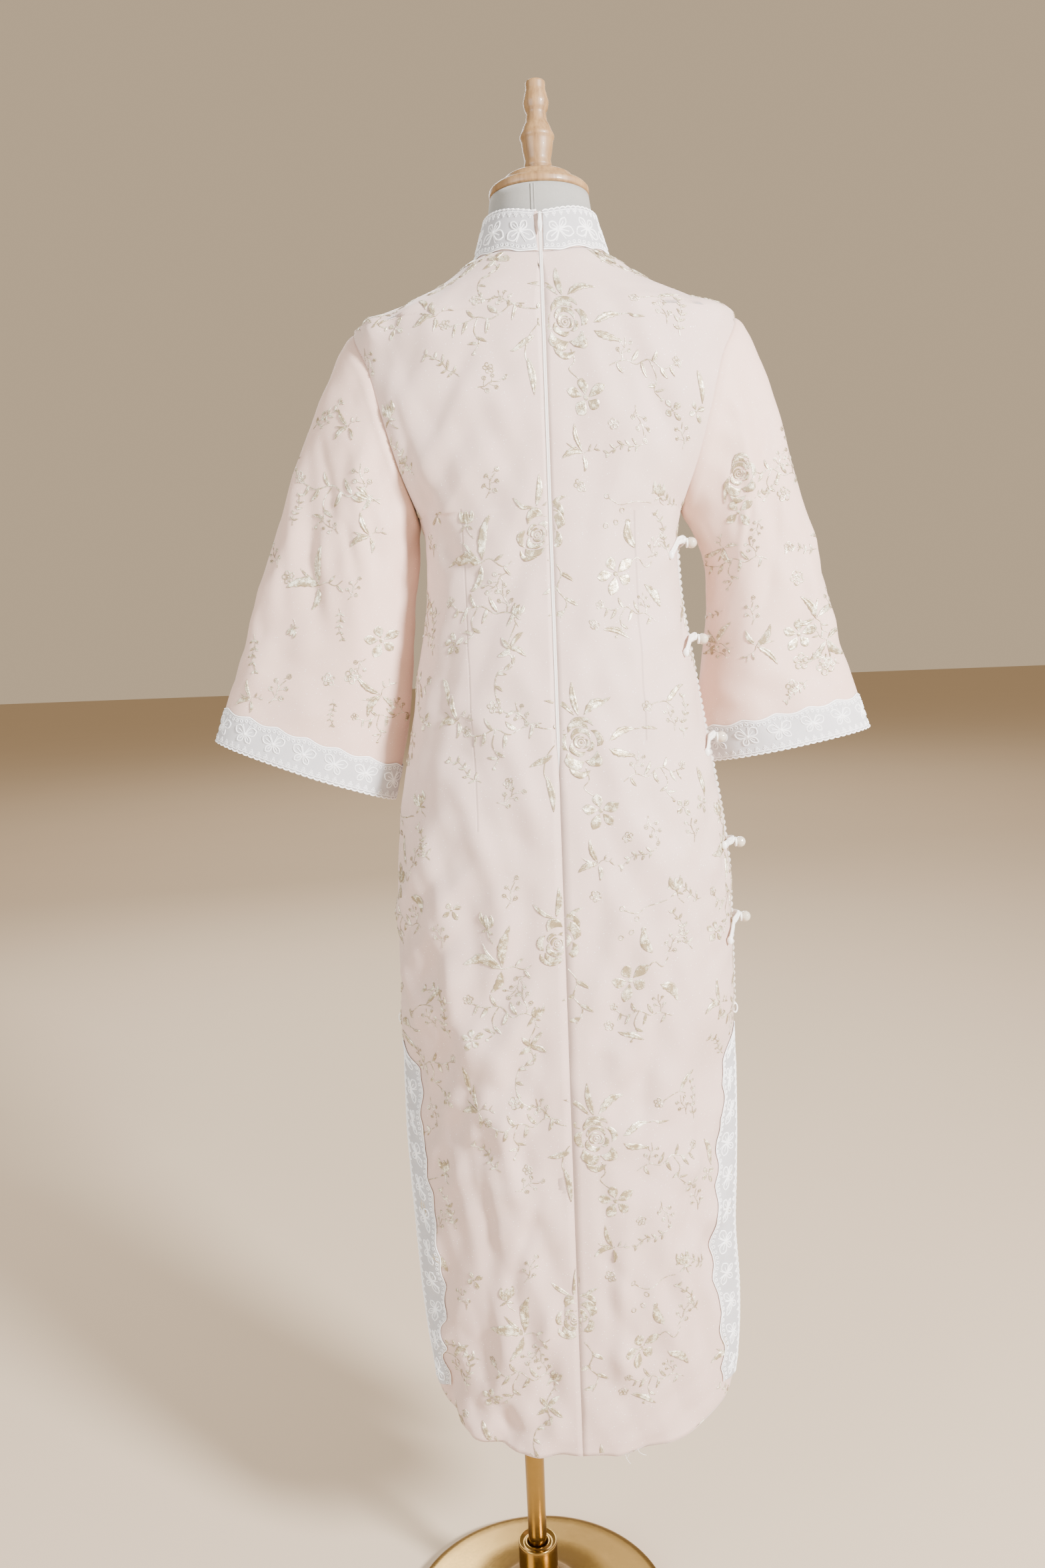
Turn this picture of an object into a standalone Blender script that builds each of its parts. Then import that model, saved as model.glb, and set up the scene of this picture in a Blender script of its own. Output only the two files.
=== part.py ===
"""A long brocade dress with lace borders and pearl frogs, worn by a limbless dress form on a brass stand.

Metres, +Z up. The origin is on the floor under the stand's pole. The dress hangs GARMENT_X to the right
of the pole, with its back and its zip facing -Y. Each cut piece of the dress is a wall of cloth of its own.
"""

import math
from dataclasses import dataclass

import bmesh
import bpy
import numpy as np

COLLECTION = "brocade_dress_on_form"

# Driving sizes
GARMENT_X = 0.055
CLOTH = 0.0016
LACE = 0.0010
REST = 0.0003
SEAM_HALF = 0.00035
ROUNDNESS = 2.4
NECK_ROUNDNESS = 2.1
FORM_ROUNDNESS = 2.3
FORM_NECK_ROUNDNESS = 2.05
FORM_NECK_Z = 1.470
ARMPIT_Z = 1.238
TIP_Z = 1.428
ARMHOLE_BACK = 0.058
ARMHOLE_FRONT = 0.052
SLIT_Z = 0.705
SLIT_SPREAD = 0.030
SLIT_RUN = 0.26
HEM_Z = 0.258
HEM_RISE = 0.030
HEM_CORNER = 0.045
ZIP_HALF = 0.0025
ZIP_END_Z = 0.960
ZIP_FADE = 0.010
YOKE_STEPS = (0.25, 0.5, 0.75, 1.0)
LACE_WIDTH = 0.030
LACE_PAST_EDGE = 0.003
WAVE_LENGTH = 0.034
WAVE_DEPTH = 0.004
POINTS_PER_WAVE = 4
NEAR = 0.004
SLIT_LACE_TOP = 0.669
SLIT_LACE_LOW = 0.335
SLIT_LACE_NARROW = 0.012
SLIT_LACE_WIDENS = 0.050
SLIT_LACE_OUT = LACE + 3.2 * REST
LACE_OUT = LACE + 2 * REST
EDGING_BELOW_ARMPIT = 0.035
EDGING_WIDTH = 0.0030
PICOT = 0.0008
EDGING_STEPS = 24

# A panel's columns, as shares of the way from its centre to its side edge
PANEL_SHARES = (0.0, 0.14, 0.28, 0.42, 0.56, 0.70, 0.82, 0.92, 1.0)

# The dress's outline: height, half width, and depth to the back and to the front of the centre
TORSO = (
    (0.250, 0.148, 0.088, 0.098),
    (0.300, 0.153, 0.091, 0.100),
    (0.450, 0.170, 0.099, 0.106),
    (0.600, 0.177, 0.107, 0.112),
    (0.705, 0.178, 0.111, 0.115),
    (0.860, 0.176, 0.116, 0.113),
    (0.910, 0.171, 0.116, 0.110),
    (1.020, 0.153, 0.107, 0.103),
    (1.105, 0.139, 0.097, 0.102),
    (1.160, 0.131, 0.092, 0.107),
    (1.210, 0.129, 0.091, 0.113),
    (1.238, 0.134, 0.092, 0.114),
    (1.285, 0.149, 0.093, 0.110),
    (1.333, 0.162, 0.094, 0.102),
    (1.380, 0.174, 0.092, 0.093),
    (1.428, 0.192, 0.086, 0.086),
    (1.444, 0.152, 0.081, 0.081),
    (1.456, 0.123, 0.077, 0.077),
    (1.468, 0.100, 0.072, 0.073),
    (1.482, 0.080, 0.066, 0.068),
    (1.492, 0.060, 0.058, 0.060),
)
# The dress form inside it, in the same columns, from its flat underside to the top of its neck
FORM = (
    (0.800, 0.156, 0.098, 0.098),
    (0.860, 0.162, 0.106, 0.103),
    (0.950, 0.156, 0.104, 0.098),
    (1.050, 0.136, 0.093, 0.090),
    (1.130, 0.122, 0.083, 0.092),
    (1.200, 0.119, 0.083, 0.102),
    (1.250, 0.127, 0.085, 0.104),
    (1.310, 0.146, 0.087, 0.096),
    (1.360, 0.160, 0.0890, 0.0895),
    (1.400, 0.175, 0.0865, 0.0850),
    (1.4220, 0.1825, 0.0835, 0.0825),
    (1.4325, 0.1725, 0.0810, 0.0805),
    (1.4446, 0.1450, 0.0780, 0.0775),
    (1.4571, 0.1160, 0.0740, 0.0735),
    (1.4691, 0.0895, 0.0685, 0.0690),
    (1.4810, 0.0645, 0.0605, 0.0625),
    (1.5000, 0.0565, 0.0553, 0.0575),
    (1.5250, 0.0537, 0.0520, 0.0540),
    (1.5520, 0.0500, 0.0500, 0.0500),
)


@dataclass(frozen=True)
class Ring:
    """A plan outline round the neck."""

    half_width: float
    back: float
    front: float


NECK_BASE = Ring(half_width=0.0690, back=0.0665, front=0.0740)
NECK_TOP = Ring(half_width=0.0580, back=0.0558, front=0.0610)
COLLAR_HEIGHT_BACK = 0.0410
COLLAR_HEIGHT_FRONT = 0.0400
COLLAR_SIDE_DIP = 0.0045
COLLAR_WAVE = 0.0030


@dataclass(frozen=True)
class Fold:
    """A soft trough or ridge that runs down a panel."""

    top_x: float
    top_z: float
    end_x: float
    end_z: float
    width: float
    depth: float


# Troughs are negative
BACK_FOLDS = (
    Fold(top_x=-0.150, top_z=0.72, end_x=-0.105, end_z=0.30, width=0.020, depth=-0.0055),
    Fold(top_x=-0.085, top_z=0.74, end_x=-0.060, end_z=0.34, width=0.024, depth=0.0035),
    Fold(top_x=0.020, top_z=0.66, end_x=0.045, end_z=0.30, width=0.022, depth=-0.0035),
    Fold(top_x=0.120, top_z=0.74, end_x=0.100, end_z=0.32, width=0.022, depth=0.0045),
    Fold(top_x=0.158, top_z=0.70, end_x=0.135, end_z=0.36, width=0.016, depth=-0.0040),
)
FRONT_FOLDS = (
    Fold(top_x=-0.120, top_z=0.74, end_x=-0.100, end_z=0.32, width=0.022, depth=-0.0045),
    Fold(top_x=-0.030, top_z=0.70, end_x=-0.045, end_z=0.30, width=0.026, depth=0.0035),
    Fold(top_x=0.070, top_z=0.72, end_x=0.060, end_z=0.32, width=0.022, depth=-0.0040),
    Fold(top_x=0.140, top_z=0.70, end_x=0.120, end_z=0.34, width=0.018, depth=0.0040),
)


@dataclass(frozen=True)
class Sleeve:
    """One sleeve: its side, its cuff's two ends seen from behind, and the cuff's half depth and middle in Y.

    The last two say how it leaves the armpit, outwards and forwards.
    """

    side: int
    outer_x: float
    outer_z: float
    inner_x: float
    inner_z: float
    half_depth: float
    middle_y: float
    leave_x: float
    leave_y: float


SLEEVES = {
    "left": Sleeve(
        side=-1, outer_x=0.364, outer_z=1.022, inner_x=0.176, inner_z=0.953,
        half_depth=0.045, middle_y=0.010, leave_x=0.030, leave_y=0.0,
    ),
    "right": Sleeve(
        side=1, outer_x=0.335, outer_z=1.010, inner_x=0.161, inner_z=0.979,
        half_depth=0.052, middle_y=0.044, leave_x=0.190, leave_y=0.150,
    ),
}  # fmt: skip
# How the sleeves' lines leave the armhole and arrive at the cuff
TIP_LEAVE_X = 0.100
SIDE_LEAVE_X = 0.050
ARMPIT_LEAVE_Z = -0.250
TIP_LEAVE_Z = -0.070
INNER_ARRIVE = (0.085, 0.0, -0.270)
OUTER_ARRIVE = (0.145, 0.0, -0.400)
SLEEVE_FOLDS = (
    # angle round the sleeve in degrees (0 outer, 180 at the body, back side positive), half width, depth
    (62.0, 17.0, -0.0045),
    (112.0, 16.0, 0.0040),
    (-58.0, 18.0, 0.0040),
    (-108.0, 17.0, -0.0040),
)


@dataclass(frozen=True)
class Frog:
    """A cord fastening: its height at the seam and how far its pearl is above its cord's end on the back."""

    z: float
    rise: float


FROGS = (
    Frog(z=1.198, rise=0.015),
    Frog(z=1.100, rise=0.013),
    Frog(z=0.998, rise=0.012),
    Frog(z=0.894, rise=-0.004),
    Frog(z=0.804, rise=0.015),
)
FROG_Y = -0.004
FROG_STATIONS = (-0.023, -0.018, -0.012, -0.006, 0.0, 0.006, 0.012, 0.018)
FROG_ARCH = 0.0052
FROG_ARCH_RUN = 0.016
PEARL_RADIUS = 0.0058
CORD_RADIUS = 0.0020

POLE_RADIUS = 0.0110
POLE_BOTTOM = 0.0620
FLANGE_THICKNESS = 0.0040
FLANGE_RADIUS = 0.0400
FORM_BOTTOM = FORM[0][0]
CAP_BOTTOM = FORM[-1][0] + REST
CAP_HEIGHT = 0.0220

MATERIALS = {
    "brocade": ((0.83, 0.75, 0.72), 0.62, 0.0),
    "lace": ((0.86, 0.86, 0.86), 0.80, 0.0),
    "satin": ((0.88, 0.88, 0.86), 0.40, 0.0),
    "pearl": ((0.90, 0.87, 0.80), 0.18, 0.0),
    "zip": ((0.88, 0.87, 0.85), 0.45, 0.0),
    "wood": ((0.62, 0.40, 0.22), 0.45, 0.0),
    "jersey": ((0.55, 0.54, 0.51), 0.85, 0.0),
    "brass": ((0.72, 0.52, 0.24), 0.22, 1.0),
}


def empty_scene():
    """Remove what the file holds and make the collection for the parts."""
    for thing in list(bpy.data.objects):
        bpy.data.objects.remove(thing, do_unlink=True)
    collection = bpy.data.collections.new(COLLECTION)
    bpy.context.scene.collection.children.link(collection)
    return collection


def finish_material(name):
    """The plain material of one finish."""
    colour, roughness, metallic = MATERIALS[name]
    material = bpy.data.materials.new(name)
    material.use_nodes = True
    shader = material.node_tree.nodes["Principled BSDF"]
    shader.inputs["Base Color"].default_value = (*colour, 1.0)
    shader.inputs["Roughness"].default_value = roughness
    shader.inputs["Metallic"].default_value = metallic
    return material


def steady_curve(rows, column):
    """A smooth function of the first column that never overshoots the rows' values."""
    table = np.array(rows)
    at, value = table[:, 0], table[:, column]
    step = np.diff(at)
    slope = np.diff(value) / step
    tangent = np.zeros(len(at))
    tangent[0], tangent[-1] = slope[0], slope[-1]
    for i in range(1, len(at) - 1):
        if slope[i - 1] * slope[i] > 0:
            before, after = 2 * step[i] + step[i - 1], step[i] + 2 * step[i - 1]
            tangent[i] = (before + after) / (before / slope[i - 1] + after / slope[i])

    def read(height):
        height = min(max(height, at[0]), at[-1])
        i = min(int(np.searchsorted(at, height, side="right")) - 1, len(step) - 1)
        s = (height - at[i]) / step[i]
        return (
            (2 * s**3 - 3 * s**2 + 1) * value[i]
            + (s**3 - 2 * s**2 + s) * step[i] * tangent[i]
            + (3 * s**2 - 2 * s**3) * value[i + 1]
            + (s**3 - s**2) * step[i] * tangent[i + 1]
        )

    return read


HALF = steady_curve(TORSO, 1)
BACK = steady_curve(TORSO, 2)
FRONT = steady_curve(TORSO, 3)


def smooth(value, start, end):
    """0 before start and 1 after end, with an even slope between."""
    s = min(max((value - start) / (end - start), 0.0), 1.0)
    return s * s * (3 - 2 * s)


def oval(half, back, front, angle, roundness=ROUNDNESS):
    """A point of a rounded section. Angle 0 is at +X, -90 degrees at the centre back."""
    power = 2 / roundness
    across, along = math.cos(angle), math.sin(angle)
    depth = back if along < 0 else front
    x = math.copysign(abs(across) ** power, across) * half
    y = math.copysign(abs(along) ** power, along) * depth
    return x, y


def fold_depth(x, y, z):
    """How far the folds move the skirt's cloth out."""
    total = 0.0
    for fold in BACK_FOLDS if y < 0 else FRONT_FOLDS:
        run = (fold.top_z - z) / (fold.top_z - fold.end_z)
        centre = fold.top_x + (fold.end_x - fold.top_x) * min(max(run, 0.0), 1.0)
        fade = smooth(run, -0.15, 0.35) * (1 - smooth(run, 0.75, 1.15))
        total += fold.depth * fade * math.exp(-(((x - centre) / fold.width) ** 2))
    return total * (1 - smooth(abs(x) / HALF(z), 0.66, 0.82))


def torso_point(angle, z):
    """A point of the dress's outer surface below the shoulders' tips."""
    x, y = oval(HALF(z), BACK(z), FRONT(z), angle)
    moved = fold_depth(x, y, z)
    if moved:
        length = math.hypot(x, y)
        x, y = x + x / length * moved * 0.2, y + math.copysign(moved, y)
    return x, y, z


def height_at(x, y):
    """The height at which the shoulders' surface stands over a place in plan."""
    low, high = TIP_Z - 0.002, TORSO[-1][0]
    for _ in range(40):
        middle = (low + high) / 2
        depth = BACK(middle) if y < 0 else FRONT(middle)
        inside = (abs(x) / HALF(middle)) ** ROUNDNESS + (abs(y) / depth) ** ROUNDNESS
        if inside < 1:
            low = middle
        else:
            high = middle
    return low


def yoke_point(angle, share):
    """A point between the shoulder tips' section, share 0, and the neck's seam, share 1."""
    x0, y0 = oval(HALF(TIP_Z), BACK(TIP_Z), FRONT(TIP_Z), angle)
    x1, y1 = oval(NECK_BASE.half_width, NECK_BASE.back, NECK_BASE.front, angle, NECK_ROUNDNESS)
    x, y = x0 + (x1 - x0) * share, y0 + (y1 - y0) * share
    return (x, y, TIP_Z) if share == 0 else (x, y, height_at(x, y))


def armhole_turns(count=11):
    """Angles round the armhole from the armpit, 0, to the shoulder's tip, 180 degrees."""
    return [math.pi * k / count for k in range(count + 1)]


def armhole_height(turn):
    """The height of the armhole's edge at a turn."""
    return (TIP_Z + ARMPIT_Z) / 2 - (TIP_Z - ARMPIT_Z) / 2 * math.cos(turn)


def armhole_edge(turn, back):
    """The point of a panel's edge at the armhole, on the right side."""
    z = armhole_height(turn)
    reach = ARMHOLE_BACK if back else ARMHOLE_FRONT
    y = math.sin(turn) * reach
    return HALF(z), (-y if back else y), z


def slit_edge(z):
    """How far a panel's side edge stands from the side seam's plane."""
    return SEAM_HALF + SLIT_SPREAD * smooth(SLIT_Z - z, 0.0, SLIT_RUN)


def side_angle(z, back):
    """The angle at which a panel ends at the side, below the armpit."""
    depth = BACK(z) if back else FRONT(z)
    share = min(slit_edge(z) / depth, 1.0) ** (ROUNDNESS / 2)
    return -math.asin(share) if back else math.asin(share)


def centre_gap(z):
    """Half the gap between the two back panels, which holds the zip."""
    return SEAM_HALF + (ZIP_HALF + REST - SEAM_HALF) * smooth(z, ZIP_END_Z, ZIP_END_Z + ZIP_FADE)


def hem_height(share):
    """The hem's height at a share of the way from the centre to the side."""
    return HEM_Z + HEM_RISE * share**2 + HEM_CORNER * share**8


def skirt_heights():
    """Heights of the rows between the hem and the armpit; the first is the hem itself."""
    low = [0.285, 0.33, 0.40, 0.47, 0.54, 0.60, 0.66, SLIT_Z, 0.76, 0.83, 0.90]
    high = [ZIP_END_Z, ZIP_END_Z + ZIP_FADE, 1.03, 1.10, 1.16, 1.205]
    return [HEM_Z] + low + high


def wide_edge(turn, back):
    """The half width whose rounded section passes through the armhole's edge."""
    x, y, z = armhole_edge(turn, back)
    depth = BACK(z) if back else FRONT(z)
    return x / (1 - (abs(y) / depth) ** ROUNDNESS) ** (1 / ROUNDNESS)


def bodice_point(share, turn, back):
    """A point of the bodice beside the armhole: share 0 at the centre and 1 at the armhole's edge."""
    x, y, z = armhole_edge(turn, back)
    depth = BACK(z) if back else FRONT(z)
    half = wide_edge(turn, back)
    end = math.asin(min((abs(y) / depth) ** (ROUNDNESS / 2), 1.0))
    angle = math.pi / 2 + (end - math.pi / 2) * share
    px, py = oval(half, depth, depth, -angle if back else angle)
    return px, py, z


def panel_column(share, back, side):
    """One column of a panel, from the hem to the neck, at a share of the way from its centre to its side."""
    sign = -1 if back else 1
    points = []
    for index, z in enumerate(skirt_heights()):
        low = hem_height(share)
        lift = low - HEM_Z
        height = low if index == 0 else max(z, z + lift * (1 - smooth(z, HEM_Z, 0.47)))
        angle = sign * math.pi / 2 + (side_angle(height, back) - sign * math.pi / 2) * share
        points.append(torso_point(angle if side > 0 else math.pi - angle, height))
    for turn in armhole_turns():
        x, y, z = bodice_point(share, turn, back)
        points.append((side * x, y, z))
    for step in YOKE_STEPS:
        angle = sign * math.pi / 2 * (1 - share)
        x, y, z = yoke_point(angle, step)
        points.append((side * x, y, z))
    clear = []
    for x, y, z in points:
        if back:
            x = side * max(side * x, centre_gap(z))
        y = sign * max(sign * y, SEAM_HALF)
        clear.append((x, y, z))
    return clear


def grid_object(name, columns, thickness, material, collection, closed=False):
    """A wall of cloth: a surface through columns of points, made solid inwards.

    Columns follow one another round the piece. The surface faces away from the middle of each row.
    """
    rows = list(zip(*columns))
    mesh = bmesh.new()
    made = [[mesh.verts.new(point) for point in row] for row in rows]
    count = len(columns)
    for lower, upper in zip(made, made[1:]):
        for i in range(count if closed else count - 1):
            j = (i + 1) % count
            mesh.faces.new((lower[i], lower[j], upper[j], upper[i]))
    data = bpy.data.meshes.new(name)
    mesh.to_mesh(data)
    mesh.free()
    data.shade_smooth()
    thing = bpy.data.objects.new(name, data)
    solid = thing.modifiers.new("cloth", "SOLIDIFY")
    solid.thickness = thickness
    solid.offset = -1
    solid.use_even_offset = False
    return place(thing, material, collection, GARMENT_X)


def place(thing, material, collection, x=0.0, y=0.0, z=0.0):
    """Give an object its finish and its place, and link it."""
    thing.location = (x, y, z)
    thing.data.materials.clear()
    thing.data.materials.append(material)
    collection.objects.link(thing)
    return thing


def turned(name, profile, segments, material, collection, x=0.0, y=0.0):
    """A turned solid whose profile of (radius, height) runs down its outer side."""
    mesh = bmesh.new()
    points = [mesh.verts.new((radius, 0.0, height)) for radius, height in profile]
    for first, second in zip(points, points[1:]):
        mesh.edges.new((first, second))
    data = bpy.data.meshes.new(name)
    mesh.to_mesh(data)
    mesh.free()
    thing = bpy.data.objects.new(name, data)
    screw = thing.modifiers.new("turn", "SCREW")
    screw.steps = segments
    screw.render_steps = segments
    screw.use_merge_vertices = True
    screw.merge_threshold = 0.00005
    screw.use_smooth_shade = True
    return place(thing, material, collection, x, y)


def tube(name, points, radius, material, collection, sides=2):
    """A cord through points, with closed ends."""
    data = bpy.data.curves.new(name, "CURVE")
    data.dimensions = "3D"
    data.bevel_depth = radius
    data.bevel_resolution = sides
    data.use_fill_caps = True
    spline = data.splines.new("POLY")
    spline.points.add(len(points) - 1)
    for node, point in zip(spline.points, points):
        node.co = (*point, 1.0)
    return place(bpy.data.objects.new(name, data), material, collection, GARMENT_X)


def back_panels(materials, collection):
    """The two back panels, which meet at the zip and at the seam below it."""
    for name, side in (("back_left", -1), ("back_right", 1)):
        made = [panel_column(share, True, side) for share in PANEL_SHARES]
        if side < 0:
            made.reverse()
        grid_object(name, made, CLOTH, materials["brocade"], collection)


def front_panel(materials, collection):
    """The front, cut in one."""
    right = [panel_column(share, False, 1) for share in reversed(PANEL_SHARES)]
    left = [panel_column(share, False, -1) for share in PANEL_SHARES[1:]]
    grid_object("front", right + left, CLOTH, materials["brocade"], collection)


def sleeve_point(sleeve, turn, back, s):
    """A point of a sleeve's outer surface: s 0 at the armhole and 1 at the cuff's edge."""
    x, y, z = armhole_edge(turn, back)
    start = np.array((x + 0.0006, y, z))
    middle_x = (sleeve.outer_x + sleeve.inner_x) / 2
    middle_z = (sleeve.outer_z + sleeve.inner_z) / 2
    reach = -math.cos(turn)
    across = math.copysign(math.sin(turn), -1 if back else 1) * sleeve.half_depth
    end = np.array(
        (
            middle_x + reach * (sleeve.outer_x - middle_x),
            sleeve.middle_y + across,
            middle_z + reach * (sleeve.outer_z - middle_z),
        )
    )
    top = (1 + reach) / 2
    leave = np.array(
        (
            sleeve.leave_x + (TIP_LEAVE_X - sleeve.leave_x) * top + SIDE_LEAVE_X * math.sin(turn),
            sleeve.leave_y * (1 - top),
            ARMPIT_LEAVE_Z + (TIP_LEAVE_Z - ARMPIT_LEAVE_Z) * top,
        )
    )
    arrive = np.array(INNER_ARRIVE) * (1 - top) + np.array(OUTER_ARRIVE) * top
    point = (
        (2 * s**3 - 3 * s**2 + 1) * start
        + (s**3 - 2 * s**2 + s) * leave
        + (3 * s**2 - 2 * s**3) * end
        + (s**3 - s**2) * arrive
    )
    spot = 180 - math.degrees(turn)
    spot = spot if back else -spot
    fade = smooth(s, 0.15, 0.5) * (1 - 0.6 * smooth(s, 0.75, 1.0))
    for centre, width, depth in SLEEVE_FOLDS:
        point[1] += math.copysign(1, across) * depth * fade * math.exp(-(((spot - centre) / width) ** 2))
    return np.array((sleeve.side * point[0], point[1], point[2]))


def sleeve_rounds():
    """Places round a sleeve: from the tip down the back to the armpit and up the front."""
    turns = armhole_turns()
    down = [(turn, True) for turn in reversed(turns)]
    up = [(turn, False) for turn in turns[1:-1]]
    return down + up


def round_order(made, side):
    """Columns in the order that makes the surface face outwards."""
    return made if side > 0 else list(reversed(made))


def sleeve_pieces(materials, collection):
    """The two sleeves, and the lace band round each cuff."""
    for name, sleeve in SLEEVES.items():
        steps = [0.0, 0.035, 0.09, 0.17, 0.27, 0.38, 0.50, 0.62, 0.74, 0.86, 0.94, 1.0]
        made = [[tuple(sleeve_point(sleeve, turn, back, s)) for s in steps] for turn, back in sleeve_rounds()]
        ordered = round_order(made, sleeve.side)
        grid_object(f"sleeve_{name}", ordered, CLOTH, materials["brocade"], collection, True)
        cuff_lace(name, sleeve, made, materials, collection)


def across_at(columns, level):
    """The points of a panel's columns at a height."""
    points = []
    for column in columns:
        made = np.array(column)
        points.append(np.array([np.interp(level, made[:, 2], made[:, k]) for k in range(3)]))
    return points


def walk(points, distance):
    """The place at a distance along a row of points, and the row's direction; both ends run on straight."""
    steps = [second - first for first, second in zip(points, points[1:])]
    lengths = [float(np.linalg.norm(step)) for step in steps]
    left = distance
    for index, (step, length) in enumerate(zip(steps, lengths)):
        if left <= length or index == len(steps) - 1:
            return points[index] + step * (left / length), step / length
        left -= length
    return points[-1], steps[-1] / lengths[-1]


def laid_on(lower, middle, upper, distance, away, out):
    """A point laid on a panel at a distance along its row, moved out along the panel's normal."""
    point, along = walk(middle, distance)
    rise = walk(upper, distance)[0] - walk(lower, distance)[0]
    normal = np.cross(along, rise)
    normal /= np.linalg.norm(normal)
    if np.dot(normal, point - away) < 0:
        normal = -normal
    return point + normal * out


def cuff_lace(name, sleeve, columns, materials, collection):
    """A scalloped band round a cuff, laid on the sleeve's own points."""
    rounds = 2 * len(columns)
    cuff = [np.array(column[-1]) for column in columns]
    away = np.mean(cuff, axis=0)
    made = []
    for k in range(rounds):
        share = k / rounds
        swing = WAVE_DEPTH * math.cos(2 * math.pi * k / POINTS_PER_WAVE) / 2
        column = []
        for down in (-LACE_PAST_EDGE, LACE_WIDTH / 2, LACE_WIDTH + swing):
            column.append(cuff_spot(columns, share, down, away))
        made.append(tuple(map(tuple, column)))
    ordered = round_order(made, -sleeve.side)
    grid_object(f"cuff_lace_{name}", ordered, LACE, materials["lace"], collection, True)


def cuff_spot(columns, share, down, away):
    """A point of the cuff's band: a share of the way round and a distance up from the cuff's edge."""
    place_in_round = share * len(columns)
    first = int(place_in_round) % len(columns)
    second = (first + 1) % len(columns)
    blend = place_in_round - int(place_in_round)
    tracks = []
    for column in (columns[first], columns[second]):
        points = [np.array(point) for point in reversed(column)]
        tracks.append(walk(points, down)[0])
    point = tracks[0] + (tracks[1] - tracks[0]) * blend
    rise = np.array(columns[first][-2]) - np.array(columns[first][-1])
    normal = np.cross(tracks[1] - tracks[0], rise)
    normal /= np.linalg.norm(normal)
    centre = np.array((away[0], away[1], point[2]))
    if np.dot(normal, point - centre) < 0:
        normal = -normal
    return point + normal * LACE_OUT


def collar_point(angle, share, out=0.0):
    """A point of the collar's outer surface between its seam, share 0, and its top, share 1."""
    x0, y0 = oval(NECK_BASE.half_width, NECK_BASE.back, NECK_BASE.front, angle, NECK_ROUNDNESS)
    x1, y1 = oval(NECK_TOP.half_width, NECK_TOP.back, NECK_TOP.front, angle, NECK_ROUNDNESS)
    x, y = x0 + (x1 - x0) * share, y0 + (y1 - y0) * share
    front = (1 + math.sin(angle)) / 2
    height = COLLAR_HEIGHT_BACK + (COLLAR_HEIGHT_FRONT - COLLAR_HEIGHT_BACK) * front
    height -= COLLAR_SIDE_DIP * math.cos(angle) ** 2
    z = height_at(x0, y0) + 2 * REST + height * share
    length = math.hypot(x, y)
    return x + x / length * out, y + y / length * out, z


def collar_columns(count, shares, out, gap, wave=0.0):
    """Columns round the collar from one side of the zip to the other."""
    made = []
    for k in range(count + 1):
        angle = -math.pi / 2 + 2 * math.pi * k / count
        swing = wave * math.cos(2 * math.pi * k / POINTS_PER_WAVE) / 2
        column = []
        for share in shares:
            x, y, z = collar_point(angle, share, out)
            if k == 0:
                x = gap
            if k == count:
                x = -gap
            z += swing if share > 1 else (-swing if share == shares[0] and wave else 0.0)
            column.append((x, y, z))
        made.append(column)
    return made


def collar_pieces(materials, collection):
    """The stand collar, open at the zip, and the lace that covers it."""
    gap = ZIP_HALF + REST
    made = collar_columns(32, (0.0, 0.5, 1.0), 0.0, gap)
    grid_object("collar", made, CLOTH, materials["brocade"], collection)
    laid = collar_columns(48, (0.07, 0.5, 1.06), LACE_OUT, gap + 2 * REST, COLLAR_WAVE)
    grid_object("collar_lace", laid, LACE, materials["lace"], collection)


def slit_laces(materials, collection):
    """The scalloped bands down both edges of both side slits, laid on the panels' own points."""
    run = SLIT_LACE_TOP - SLIT_LACE_LOW
    rows = POINTS_PER_WAVE * round(run / WAVE_LENGTH)
    for face, back in (("back", True), ("front", False)):
        for name, side in (("left", -1), ("right", 1)):
            skirt = len(skirt_heights())
            panel = [panel_column(share, back, side)[:skirt] for share in reversed(PANEL_SHARES)]
            columns = [[], [], []]
            for k in range(rows + 1):
                z = SLIT_LACE_LOW + run * k / rows
                full = smooth(SLIT_LACE_TOP - z, 0.0, SLIT_LACE_WIDENS)
                swing = WAVE_DEPTH * math.cos(2 * math.pi * k / POINTS_PER_WAVE) / 2
                width = SLIT_LACE_NARROW + (LACE_WIDTH - SLIT_LACE_NARROW) * full + swing
                lower, middle, upper = (across_at(panel, z + step) for step in (-NEAR, 0.0, NEAR))
                away = np.array((0.0, 0.0, z))
                for column, distance in enumerate((-LACE_PAST_EDGE * full, width / 2, width)):
                    point = laid_on(lower, middle, upper, distance, away, SLIT_LACE_OUT)
                    columns[column].append(tuple(point))
            ordered = columns if (side > 0) != back else list(reversed(columns))
            grid_object(f"slit_lace_{face}_{name}", ordered, LACE, materials["lace"], collection)


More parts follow.
